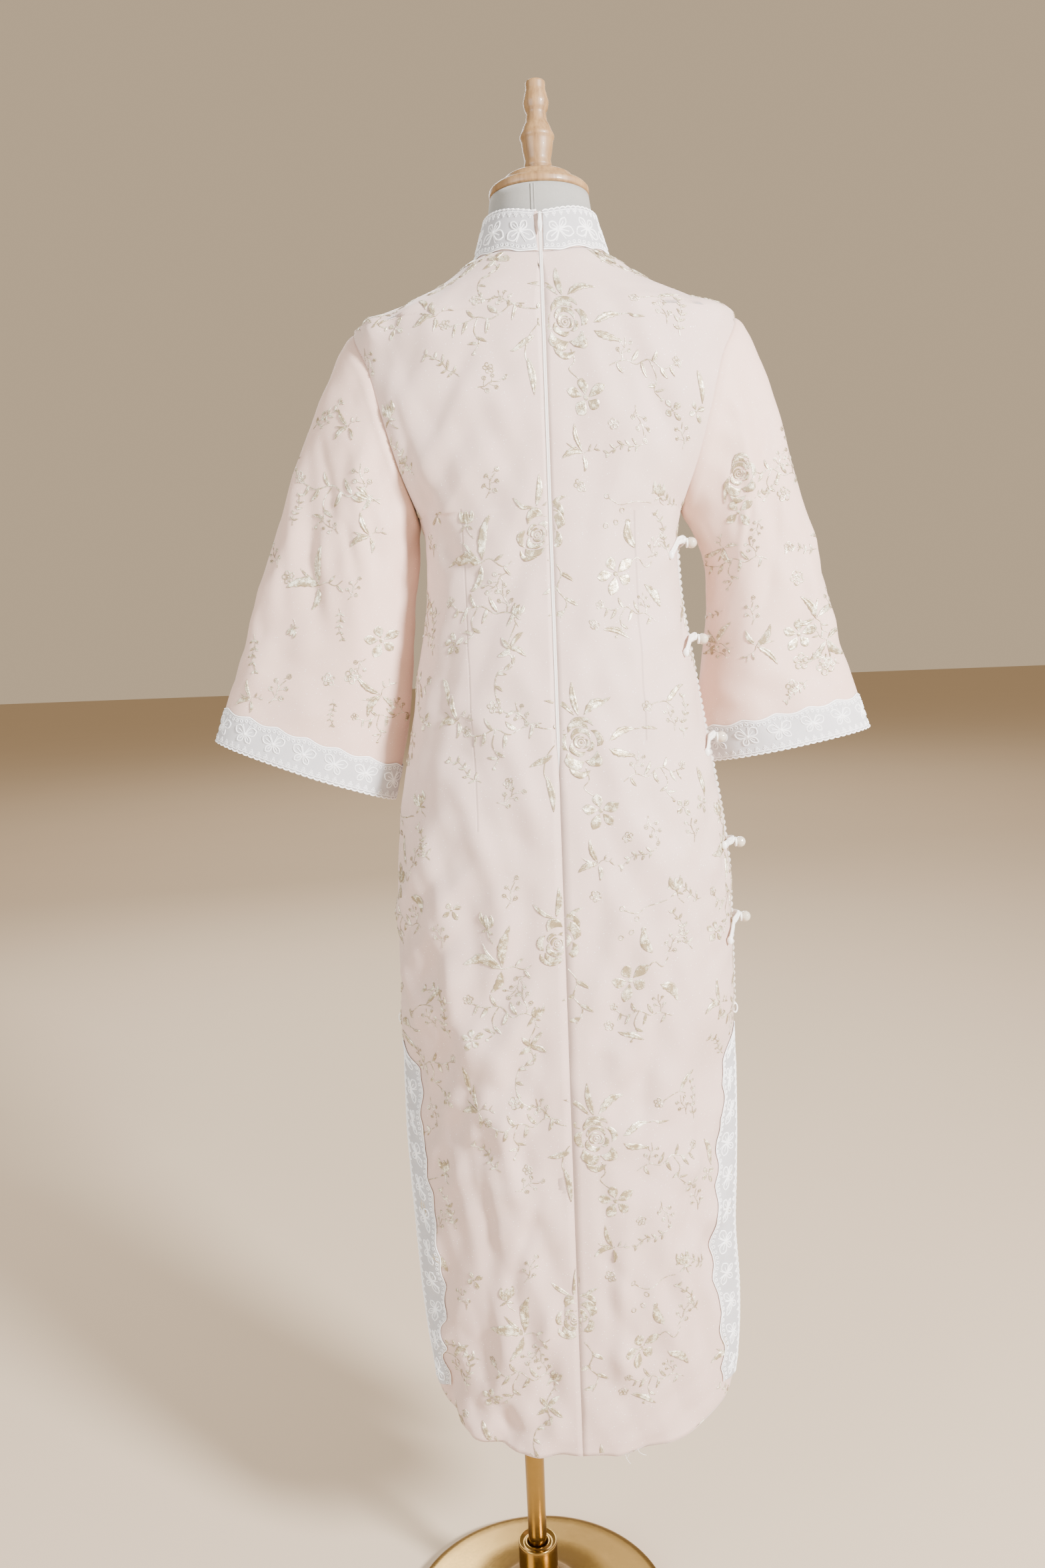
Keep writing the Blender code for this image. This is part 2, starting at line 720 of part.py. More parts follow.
def zip_pieces(materials, collection):
    """The zip's tape in the centre back seam, its slider at the collar's top, and its pull tab."""
    centre = []
    heights = [z for z in skirt_heights() if z > ZIP_END_Z + ZIP_FADE / 2]
    heights += [armhole_height(turn) for turn in armhole_turns()]
    for z in [ZIP_END_Z + ZIP_FADE + 0.001] + heights[1:]:
        centre.append((-BACK(z), z))
    for step in YOKE_STEPS:
        _, y, z = yoke_point(-math.pi / 2, step)
        centre.append((y, z))
    for share in (0.5, 0.985):
        _, y, z = collar_point(-math.pi / 2, share)
        centre.append((y, z))
    columns = [[(x, y - REST, z) for y, z in centre] for x in (-ZIP_HALF, ZIP_HALF)]
    grid_object("zip_tape", columns, 0.0012, materials["zip"], collection)

    _, low_y, low_z = collar_point(-math.pi / 2, 0.0)
    _, top_y, top_z = collar_point(-math.pi / 2, 1.0)
    lean = math.atan2(top_y - low_y, top_z - low_z)
    slider_size = (0.0046, 0.0024, 0.0080)
    slider_middle = 0.86
    _, y, z = collar_point(-math.pi / 2, slider_middle)
    face = 2.6 * REST + slider_size[1] / 2
    box("zip_slider", slider_size, (0.0, y - face, z), lean, materials["zip"], collection)
    pull_size = (0.0038, 0.0010, 0.0215)
    off = 2.6 * REST + slider_size[1] + REST + pull_size[1] / 2
    hang = slider_size[2] * 0.30
    along = (math.sin(lean), math.cos(lean))
    hinge_y, hinge_z = y - off + along[0] * hang, z + along[1] * hang
    pull = box("zip_pull", pull_size, (0.0, hinge_y, hinge_z), lean, materials["zip"], collection)
    shift = -pull_size[2] / 2 + pull_size[1] / 2
    for vertex in pull.data.vertices:
        vertex.co.z += shift


def box(name, size, place_at, lean, material, collection):
    """A small block with eased edges, leaning with the collar."""
    mesh = bmesh.new()
    bmesh.ops.create_cube(mesh, size=1.0)
    for vertex in mesh.verts:
        vertex.co = [value * length for value, length in zip(vertex.co, size)]
    data = bpy.data.meshes.new(name)
    mesh.to_mesh(data)
    mesh.free()
    thing = bpy.data.objects.new(name, data)
    thing.rotation_euler = (-lean, 0.0, 0.0)
    bevel = thing.modifiers.new("eased", "BEVEL")
    bevel.width = min(size) * 0.3
    bevel.segments = 1
    x, y, z = place_at
    return place(thing, material, collection, GARMENT_X + x, y, z)


def side_edging(materials, collection):
    """The narrow picot edging that stands out of the right side seam."""
    run = ARMPIT_Z - EDGING_BELOW_ARMPIT - SLIT_Z
    heights = [SLIT_Z + run * k / EDGING_STEPS for k in range(EDGING_STEPS + 1)]
    seam = np.array(panel_column(1.0, False, 1)[: len(skirt_heights()) + 1])
    reach = [float(np.interp(z, seam[:, 2], seam[:, 0])) + 2 * REST for z in heights]
    inner = [(x, LACE / 2, z) for x, z in zip(reach, heights)]
    wide = [x + EDGING_WIDTH + PICOT * (k % 2) for k, x in enumerate(reach)]
    outer = [(x, LACE / 2, z) for x, z in zip(wide, heights)]
    grid_object("side_edging", [inner, outer], LACE, materials["lace"], collection)


def frogs(materials, collection):
    """The cord fastenings down the right side: a cord from the back round to the front, and a pearl on it."""
    lift = CORD_RADIUS + 2 * REST
    for number, frog in enumerate(FROGS, 1):
        route = []
        for along in FROG_STATIONS:
            y = FROG_Y + along
            z = frog.z + frog.rise * (min(along / -FROG_STATIONS[0], 0.0) + 0.5)
            depth = BACK(z) if y < 0 else FRONT(z)
            x = HALF(z) * (1 - (abs(y) / depth) ** ROUNDNESS) ** (1 / ROUNDNESS)
            hump = FROG_ARCH * (1 - min(abs(along) / FROG_ARCH_RUN, 1.0) ** 2)
            route.append((x + lift + hump, y, z))
        tube(f"frog_{number}", route, CORD_RADIUS, materials["satin"], collection, 1)
        pearl_z = frog.z + frog.rise / 2
        x = HALF(pearl_z) + lift + FROG_ARCH + CORD_RADIUS + PEARL_RADIUS
        mesh = bmesh.new()
        bmesh.ops.create_uvsphere(mesh, u_segments=10, v_segments=6, radius=PEARL_RADIUS)
        data = bpy.data.meshes.new(f"pearl_{number}")
        mesh.to_mesh(data)
        mesh.free()
        data.shade_smooth()
        pearl = bpy.data.objects.new(f"pearl_{number}", data)
        place(pearl, materials["pearl"], collection, GARMENT_X + x, FROG_Y, pearl_z)


def dress_form(materials, collection):
    """The limbless form that wears the dress, closed at its underside and at its neck."""
    around = 32
    mesh = bmesh.new()
    rings = []
    for z, half, back, front in FORM:
        ring = []
        roundness = FORM_ROUNDNESS if z < FORM_NECK_Z else FORM_NECK_ROUNDNESS
        for k in range(around):
            x, y = oval(half, back, front, 2 * math.pi * k / around, roundness)
            ring.append(mesh.verts.new((x, y, z)))
        rings.append(ring)
    for lower, upper in zip(rings, rings[1:]):
        for i in range(around):
            j = (i + 1) % around
            mesh.faces.new((lower[i], lower[j], upper[j], upper[i]))
    mesh.faces.new(list(reversed(rings[0])))
    mesh.faces.new(rings[-1])
    data = bpy.data.meshes.new("form")
    mesh.to_mesh(data)
    mesh.free()
    data.shade_smooth()
    place(bpy.data.objects.new("form", data), materials["jersey"], collection, GARMENT_X)


def wooden_pieces(materials, collection):
    """The neck's round cap and the turned finial on it."""
    base = CAP_BOTTOM
    cap = [
        (0.0, base + CAP_HEIGHT), (0.0300, base + CAP_HEIGHT), (0.0345, base + 0.0195),
        (0.0380, base + 0.0135), (0.0470, base + 0.0105), (0.0504, base + 0.0070),
        (0.0504, base + 0.0020), (0.0480, base), (0.0, base),
    ]  # fmt: skip
    turned("neck_cap", cap, 28, materials["wood"], collection, GARMENT_X)
    foot = base + CAP_HEIGHT + REST
    finial = [
        (0.0, 0.0910), (0.0080, 0.0910), (0.0099, 0.0895), (0.0099, 0.0820), (0.0108, 0.0790),
        (0.0130, 0.0700), (0.0118, 0.0640), (0.0098, 0.0600), (0.0108, 0.0520), (0.0133, 0.0475),
        (0.0152, 0.0425), (0.0173, 0.0385), (0.0173, 0.0360), (0.0160, 0.0330), (0.0149, 0.0240),
        (0.0130, 0.0145), (0.0143, 0.0090), (0.0126, 0.0050), (0.0145, 0.0), (0.0, 0.0),
    ]  # fmt: skip
    raised = [(radius, height + foot) for radius, height in finial]
    turned("finial", raised, 20, materials["wood"], collection, GARMENT_X)


def stand_pieces(materials, collection):
    """The brass stand: a bell foot, a sleeve on it, the pole, and the flange under the form."""
    foot = [
        (0.0, 0.0617), (0.0215, 0.0617), (0.0235, 0.0560), (0.0320, 0.0420), (0.0520, 0.0290),
        (0.0900, 0.0200), (0.1420, 0.0145), (0.1485, 0.0120), (0.1500, 0.0080), (0.1500, 0.0020),
        (0.1480, 0.0), (0.0, 0.0),
    ]  # fmt: skip
    turned("stand_foot", foot, 40, materials["brass"], collection)
    bore = POLE_RADIUS + REST
    sleeve = [
        (bore, 0.0940), (0.0135, 0.0945), (0.0160, 0.0925), (0.0210, 0.0955), (0.0220, 0.0945),
        (0.0220, 0.0630), (0.0215, POLE_BOTTOM), (bore, POLE_BOTTOM), (bore, 0.0940),
    ]  # fmt: skip
    turned("pole_sleeve", sleeve, 28, materials["brass"], collection)
    flange_low = FORM_BOTTOM - REST - FLANGE_THICKNESS
    flange = [
        (0.0, flange_low + FLANGE_THICKNESS), (FLANGE_RADIUS, flange_low + FLANGE_THICKNESS),
        (FLANGE_RADIUS, flange_low), (0.0, flange_low),
    ]  # fmt: skip
    turned("pole_flange", flange, 28, materials["brass"], collection)
    top = flange_low - REST
    pole = [(0.0, top), (POLE_RADIUS, top), (POLE_RADIUS, POLE_BOTTOM), (0.0, POLE_BOTTOM)]
    turned("pole", pole, 24, materials["brass"], collection)


def main():
    """Build every piece."""
    collection = empty_scene()
    materials = {name: finish_material(name) for name in MATERIALS}
    dress_form(materials, collection)
    wooden_pieces(materials, collection)
    stand_pieces(materials, collection)
    back_panels(materials, collection)
    front_panel(materials, collection)
    sleeve_pieces(materials, collection)
    collar_pieces(materials, collection)
    slit_laces(materials, collection)
    side_edging(materials, collection)
    zip_pieces(materials, collection)
    frogs(materials, collection)


main()
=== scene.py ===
"""The looks of a pale brocade dress with lace borders and pearl frogs, on a limbless form and its stand.

Every cut piece is a fine wall of cloth on the form of its solid, with its folds. The woven flowers
and the lace's cords are raised meshes laid on that cloth by its own two directions: across, to the
right seen from behind, and up.
"""

from __future__ import annotations

import logging
import math
from collections.abc import Callable, Sequence
from dataclasses import dataclass, field
from enum import Enum

import bpy
import numpy as np
from mathutils import Matrix, Vector


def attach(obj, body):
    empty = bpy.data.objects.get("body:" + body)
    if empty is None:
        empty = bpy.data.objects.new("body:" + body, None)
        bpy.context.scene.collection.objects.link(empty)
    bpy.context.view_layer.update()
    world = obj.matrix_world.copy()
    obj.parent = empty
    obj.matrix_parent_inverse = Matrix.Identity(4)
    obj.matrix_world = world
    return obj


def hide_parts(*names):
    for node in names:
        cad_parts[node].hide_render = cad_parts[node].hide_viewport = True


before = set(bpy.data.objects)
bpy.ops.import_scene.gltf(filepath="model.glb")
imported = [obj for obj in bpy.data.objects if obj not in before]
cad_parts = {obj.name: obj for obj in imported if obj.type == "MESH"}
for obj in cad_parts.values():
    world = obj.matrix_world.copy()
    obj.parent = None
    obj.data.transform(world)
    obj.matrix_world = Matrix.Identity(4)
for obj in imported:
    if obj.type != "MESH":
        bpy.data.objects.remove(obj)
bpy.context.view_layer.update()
LOG = logging.getLogger("dress")

MM = 0.001
CENTRE_X = 0.055
CLOTH = 0.9 * MM
# How far the cut edge of a flower stands off its cloth
SEALED = 0.05 * MM
# Half the width that shows between the two edges of cloth, of a zip and of a seam,
# and how far the one takes to become the other
ZIP_SHOWN = 1.75 * MM
SEAM_SHOWN = 0.1 * MM
ZIP_TAPER = 0.050

Array = np.ndarray
Spot = tuple[float, float]
Point = tuple[float, float, float]
Colour = tuple[float, float, float]
Line = tuple[float, float, float, float]
Faces = list[tuple[int, ...]]
Mesh = tuple[Array, Faces]
Thing = bpy.types.Object
Material = bpy.types.Material
Tree = bpy.types.NodeTree
Node = bpy.types.Node
Socket = bpy.types.NodeSocket


class Slot(Enum):
    """The record's finishes."""

    BROCADE = "brocade"
    LACE = "lace"
    SATIN = "satin"
    PEARL = "pearl"
    ZIP = "zip"
    WOOD = "wood"
    JERSEY = "jersey"
    BRASS = "brass"


class Body(Enum):
    """The bodies that pieces ride on."""

    DRESS = "dressed_form"
    PULL = "zip_pull"


class Side(Enum):
    """Left and right, seen from behind."""

    LEFT = -1
    RIGHT = 1


class Face(Enum):
    """The dress's two faces."""

    BACK = -1
    FRONT = 1


def smooth(value: float, start: float, end: float) -> float:
    """Ease from 0 at start to 1 at end."""
    s = min(max((value - start) / (end - start), 0.0), 1.0)
    return s * s * (3 - 2 * s)


def part_of(value: Array, start: float, run: float) -> Array:
    """Rise evenly from 0 at start to 1 after a run."""
    return np.clip((value - start) / run, 0.0, 1.0)


def eased(value: Array, start: float, run: float) -> Array:
    """Ease from 0 at start to 1 after a run."""
    share = part_of(value, start, run)
    return share * share * (3 - 2 * share)


def bell(value: Array, middle: float, width: float) -> Array:
    """Give a soft bump that is 1 at its middle."""
    return np.exp(-(((value - middle) / width) ** 2))


def turns(count: int) -> list[float]:
    """Give evenly spread angles round a full turn."""
    return [2 * math.pi * k / count for k in range(count)]


def power(value: float, exponent: float) -> float:
    """Raise a value's size to a power and keep its sign."""
    return math.copysign(abs(value) ** exponent, value)


def cubic(s: float, start: Array, leave: Array, end: Array, arrive: Array) -> Array:
    """Give a place on a smooth curve.

    Args:
        s: The way along it, from 0 to 1.
        start: Its first place.
        leave: Its direction there.
        end: Its last place.
        arrive: Its direction there.

    Returns:
        The place.
    """
    first, last = (2 * s**3 - 3 * s**2 + 1) * start, (3 * s**2 - 2 * s**3) * end
    return first + (s**3 - 2 * s**2 + s) * leave + last + (s**3 - s**2) * arrive


def steady_curve(rows: Sequence[Sequence[float]], column: int) -> Callable[[float], float]:
    """Make a smooth function of the rows' first column that never overshoots.

    Args:
        rows: The table, sorted by its first column.
        column: The column to read.

    Returns:
        A function of the first column's value.
    """
    table = np.array(rows)
    at, value = table[:, 0], table[:, column]
    step = np.diff(at)
    slope = np.diff(value) / step
    tangent = np.zeros(len(at))
    tangent[0], tangent[-1] = slope[0], slope[-1]
    for i in range(1, len(at) - 1):
        if slope[i - 1] * slope[i] > 0:
            before, after = 2 * step[i] + step[i - 1], step[i] + 2 * step[i - 1]
            tangent[i] = (before + after) / (before / slope[i - 1] + after / slope[i])
    places, values, steps, ways = (array.tolist() for array in (at, value, step, tangent))

    def read(height: float) -> float:
        """Read the curve at a height.

        Args:
            height: The first column's value.

        Returns:
            The curve's value.
        """
        height = min(max(height, places[0]), places[-1])
        i = 0
        while i < len(steps) - 1 and height >= places[i + 1]:
            i += 1
        s = (height - places[i]) / steps[i]
        return cubic(s, values[i], steps[i] * ways[i], values[i + 1], steps[i] * ways[i + 1])

    return read


# Sections of the dress and of the form: height, half width, and depth to the back and to the front
TORSO = (
    (0.250, 0.148, 0.088, 0.098), (0.300, 0.153, 0.091, 0.100), (0.450, 0.170, 0.099, 0.106),
    (0.600, 0.177, 0.107, 0.112), (0.705, 0.178, 0.111, 0.115), (0.860, 0.176, 0.116, 0.113),
    (0.910, 0.171, 0.116, 0.110), (1.020, 0.153, 0.107, 0.103), (1.105, 0.139, 0.097, 0.102),
    (1.160, 0.131, 0.092, 0.107), (1.210, 0.129, 0.091, 0.113), (1.238, 0.134, 0.092, 0.114),
    (1.285, 0.149, 0.093, 0.110), (1.333, 0.162, 0.094, 0.102), (1.380, 0.174, 0.092, 0.093),
    (1.428, 0.192, 0.086, 0.086), (1.444, 0.152, 0.081, 0.081), (1.456, 0.123, 0.077, 0.077),
    (1.468, 0.100, 0.072, 0.073), (1.482, 0.080, 0.066, 0.068), (1.492, 0.060, 0.058, 0.060),
)  # fmt: skip
FORM = (
    (0.800, 0.156, 0.098, 0.098), (0.860, 0.162, 0.106, 0.103), (0.950, 0.156, 0.104, 0.098),
    (1.050, 0.136, 0.093, 0.090), (1.130, 0.122, 0.083, 0.092), (1.200, 0.119, 0.083, 0.102),
    (1.250, 0.127, 0.085, 0.104), (1.310, 0.146, 0.087, 0.096), (1.360, 0.160, 0.0890, 0.0895),
    (1.400, 0.175, 0.0865, 0.0850), (1.4220, 0.1825, 0.0835, 0.0825), (1.4325, 0.1725, 0.0810, 0.0805),
    (1.4446, 0.1450, 0.0780, 0.0775), (1.4571, 0.1160, 0.0740, 0.0735), (1.4691, 0.0895, 0.0685, 0.0690),
    (1.4810, 0.0645, 0.0605, 0.0625), (1.5000, 0.0565, 0.0553, 0.0575), (1.5250, 0.0537, 0.0520, 0.0540),
    (1.5520, 0.0500, 0.0500, 0.0500),
)  # fmt: skip
HALF, BACK, FRONT = (steady_curve(TORSO, column) for column in (1, 2, 3))


@dataclass(frozen=True)
class Fold:
    """A soft trough, or a ridge, that runs down a skirt panel."""

    top_x: float
    top_z: float
    end_x: float
    end_z: float
    width: float
    depth: float


@dataclass(frozen=True)
class Crease:
    """A short soft crease on a cut piece, from one place on its cloth to another."""

    across: float
    up: float
    to_across: float
    to_up: float
    width: float
    depth: float
    bend: float = 0.0


def in_mm(kind: type, *rows: Sequence[float]) -> tuple:
    """Make one fold or crease from each row of its sizes in millimetres."""
    return tuple(kind(*(size * MM for size in row)) for row in rows)


@dataclass(frozen=True)
class PanelRows:
    """How many rows a panel has below the armpit, beside the armhole and on the shoulder."""

    skirt: int = 236
    bodice: int = 46
    yoke: int = 20


@dataclass(frozen=True)
class DressCut:
    """The dress's sizes, from which every panel's surface is worked out."""

    roundness: float = 2.4
    neck_roundness: float = 2.1
    seam_half: float = 0.00035
    armpit_z: float = 1.238
    tip_z: float = 1.428
    armhole_back: float = 0.058
    armhole_front: float = 0.052
    slit_z: float = 0.705
    slit_spread: float = 0.030
    slit_run: float = 0.26
    hem_z: float = 0.258
    hem_rise: float = 0.030
    hem_corner: float = 0.026
    hem_end: float = 0.47
    zip_half: float = 0.0025
    zip_end_z: float = 0.960
    zip_fade: float = 0.010
    rest: float = 0.0003
    neck_base: Point = (0.0690, 0.0665, 0.0740)
    neck_top: Point = (0.0580, 0.0558, 0.0610)
    collar_back: float = 0.0410
    collar_front: float = 0.0400
    collar_dip: float = 0.0045
    back_folds: tuple[Fold, ...] = in_mm(
        Fold, (-150, 720, -105, 300, 20, -5.5), (-85, 740, -60, 340, 24, 3.5), (20, 660, 45, 300, 22, -3.5),
        (120, 740, 100, 320, 22, 4.5), (158, 700, 135, 360, 16, -4),
    )  # fmt: skip
    front_folds: tuple[Fold, ...] = in_mm(
        Fold, (-120, 740, -100, 320, 22, -4.5), (-30, 700, -45, 300, 26, 3.5), (70, 720, 60, 320, 22, -4),
        (140, 700, 120, 340, 18, 4),
    )  # fmt: skip

    def depth(self, z: float, back: bool) -> float:
        """Give the dress's depth to the back or to the front at a height."""
        return BACK(z) if back else FRONT(z)

    def oval(self, half: float, back: float, front: float, angle: float, roundness: float) -> Spot:
        """Give a point of a rounded section.

        Args:
            half: Its half width.
            back: Its depth to the back.
            front: Its depth to the front.
            angle: 0 at +X, and minus a quarter turn at the centre back.
            roundness: 2 for an ellipse, more for a squarer section.

        Returns:
            The point's x and y.
        """
        across, along = math.cos(angle), math.sin(angle)
        depth = back if along < 0 else front
        return power(across, 2 / roundness) * half, power(along, 2 / roundness) * depth

    def fold_depth(self, x: float, y: float, z: float) -> float:
        """Give how far the large folds move the cloth out at a place.

        Args:
            x: The place's x.
            y: Its y, whose sign tells the back from the front.
            z: Its height.

        Returns:
            The distance outwards.
        """
        total = 0.0
        for fold in self.back_folds if y < 0 else self.front_folds:
            run = (fold.top_z - z) / (fold.top_z - fold.end_z)
            if -0.15 < run < 1.15:
                centre = fold.top_x + (fold.end_x - fold.top_x) * min(max(run, 0.0), 1.0)
                fade = smooth(run, -0.15, 0.35) * (1 - smooth(run, 0.75, 1.15))
                total += fold.depth * fade * math.exp(-(((x - centre) / fold.width) ** 2))
        return total * (1 - smooth(abs(x) / HALF(z), 0.66, 0.82))

    def torso_point(self, angle: float, z: float) -> Point:
        """Give a point of the dress below the shoulders' tips, at an angle and a height.

        Args:
            angle: 0 at +X, and minus a quarter turn at the centre back.
            z: The height.

        Returns:
            The point.
        """
        x, y = self.oval(HALF(z), BACK(z), FRONT(z), angle, self.roundness)
        moved = self.fold_depth(x, y, z)
        if moved:
            x, y = x + x / math.hypot(x, y) * moved * 0.2, y + math.copysign(moved, y)
        return x, y, z

    def height_at(self, x: float, y: float) -> float:
        """Give the height of the shoulders' surface over a place in plan, by halving."""
        low, high = self.tip_z - 0.002, TORSO[-1][0]
        for _ in range(26):
            middle = (low + high) / 2
            across, along = abs(x) / HALF(middle), abs(y) / self.depth(middle, y < 0)
            if across**self.roundness + along**self.roundness < 1:
                low = middle
            else:
                high = middle
        return low

    def yoke_point(self, angle: float, share: float) -> Point:
        """Give a point at an angle from the shoulder tips' section, share 0, to the neck's seam, share 1.

        Args:
            angle: 0 at +X, and minus a quarter turn at the centre back.
            share: The way to the neck's seam.

        Returns:
            The point.
        """
        tip = self.tip_z
        x0, y0 = self.oval(HALF(tip), BACK(tip), FRONT(tip), angle, self.roundness)
        x1, y1 = self.oval(*self.neck_base, angle, self.neck_roundness)
        x, y = x0 + (x1 - x0) * share, y0 + (y1 - y0) * share
        return x, y, self.height_at(x, y)

    def armhole_edge(self, turn: float, face: Face) -> Point:
        """Give the right armhole's edge at a turn, 0 at the armpit and half a turn at the tip."""
        z = (self.tip_z + self.armpit_z) / 2 - (self.tip_z - self.armpit_z) / 2 * math.cos(turn)
        reach = self.armhole_back if face is Face.BACK else self.armhole_front
        return HALF(z), face.value * math.sin(turn) * reach, z

    def side_angle(self, z: float, face: Face) -> float:
        """Give the angle at which a face's panel ends at the side, below the armpit."""
        edge = self.seam_half + self.slit_spread * smooth(self.slit_z - z, 0.0, self.slit_run)
        share = min(edge / self.depth(z, face is Face.BACK), 1.0)
        return face.value * math.asin(share ** (self.roundness / 2))

    def centre_gap(self, z: float) -> float:
        """Give half the gap between the two back panels at a height."""
        widest = self.zip_half + self.rest - self.seam_half
        return self.seam_half + widest * smooth(z, self.zip_end_z, self.zip_end_z + self.zip_fade)

    def bodice_point(self, share: float, turn: float, face: Face) -> Point:
        """Give a point beside the armhole: share 0 at the centre and 1 at the armhole's edge.

        Args:
            share: The way from the centre to the armhole.
            turn: The turn round the armhole, 0 at the armpit.
            face: Back or front.

        Returns:
            The point, on the right side.
        """
        x, y, z = self.armhole_edge(turn, face)
        depth = self.depth(z, face is Face.BACK)
        out = abs(y) / depth
        half = x / (1 - out**self.roundness) ** (1 / self.roundness)
        end = math.asin(min(out ** (self.roundness / 2), 1.0))
        angle = math.pi / 2 + (end - math.pi / 2) * share
        return *self.oval(half, depth, depth, face.value * angle, self.roundness), z

    def column(self, share: float, face: Face, side: Side, rows: PanelRows) -> list[Point]:
        """Give one column of a panel, from the hem to the neck.

        Args:
            share: The way from the panel's centre to its side.
            face: Back or front.
            side: Left or right.
            rows: How many rows each stretch has.

        Returns:
            The column's points.
        """
        sign, hand = face.value, side.value
        centre = sign * math.pi / 2
        lift = self.hem_rise * share**2 + self.hem_corner * share**8
        points = []
        for i in range(rows.skirt):
            z = self.hem_z + (self.armpit_z - self.hem_z) * i / rows.skirt
            height = z + lift * (1 - smooth(z, self.hem_z, self.hem_end))
            angle = centre + (self.side_angle(height, face) - centre) * share
            points.append(self.torso_point(angle if hand > 0 else math.pi - angle, height))
        upper = [self.bodice_point(share, math.pi * i / rows.bodice, face) for i in range(rows.bodice + 1)]
        upper += [self.yoke_point(centre * (1 - share), i / rows.yoke) for i in range(1, rows.yoke + 1)]
        points += [(hand * x, y, z) for x, y, z in upper]
        if face is Face.BACK:
            points = [(hand * max(hand * x, self.centre_gap(z)), y, z) for x, y, z in points]
        return [(x, sign * max(sign * y, self.seam_half), z) for x, y, z in points]

    def collar_point(self, angle: float, share: float) -> Point:
        """Give a point of the collar at an angle: share 0 at its seam and 1 at its top.

        Args:
            angle: 0 at +X, and minus a quarter turn at the centre back.
            share: The way up the collar.

        Returns:
            The point.
        """
        x0, y0 = self.oval(*self.neck_base, angle, self.neck_roundness)
        x1, y1 = self.oval(*self.neck_top, angle, self.neck_roundness)
        height = self.collar_back + (self.collar_front - self.collar_back) * (1 + math.sin(angle)) / 2
        height -= self.collar_dip * math.cos(angle) ** 2
        z = self.height_at(x0, y0) + 2 * self.rest + height * share
        return x0 + (x1 - x0) * share, y0 + (y1 - y0) * share, z


CUT = DressCut()
ROWS = PanelRows()


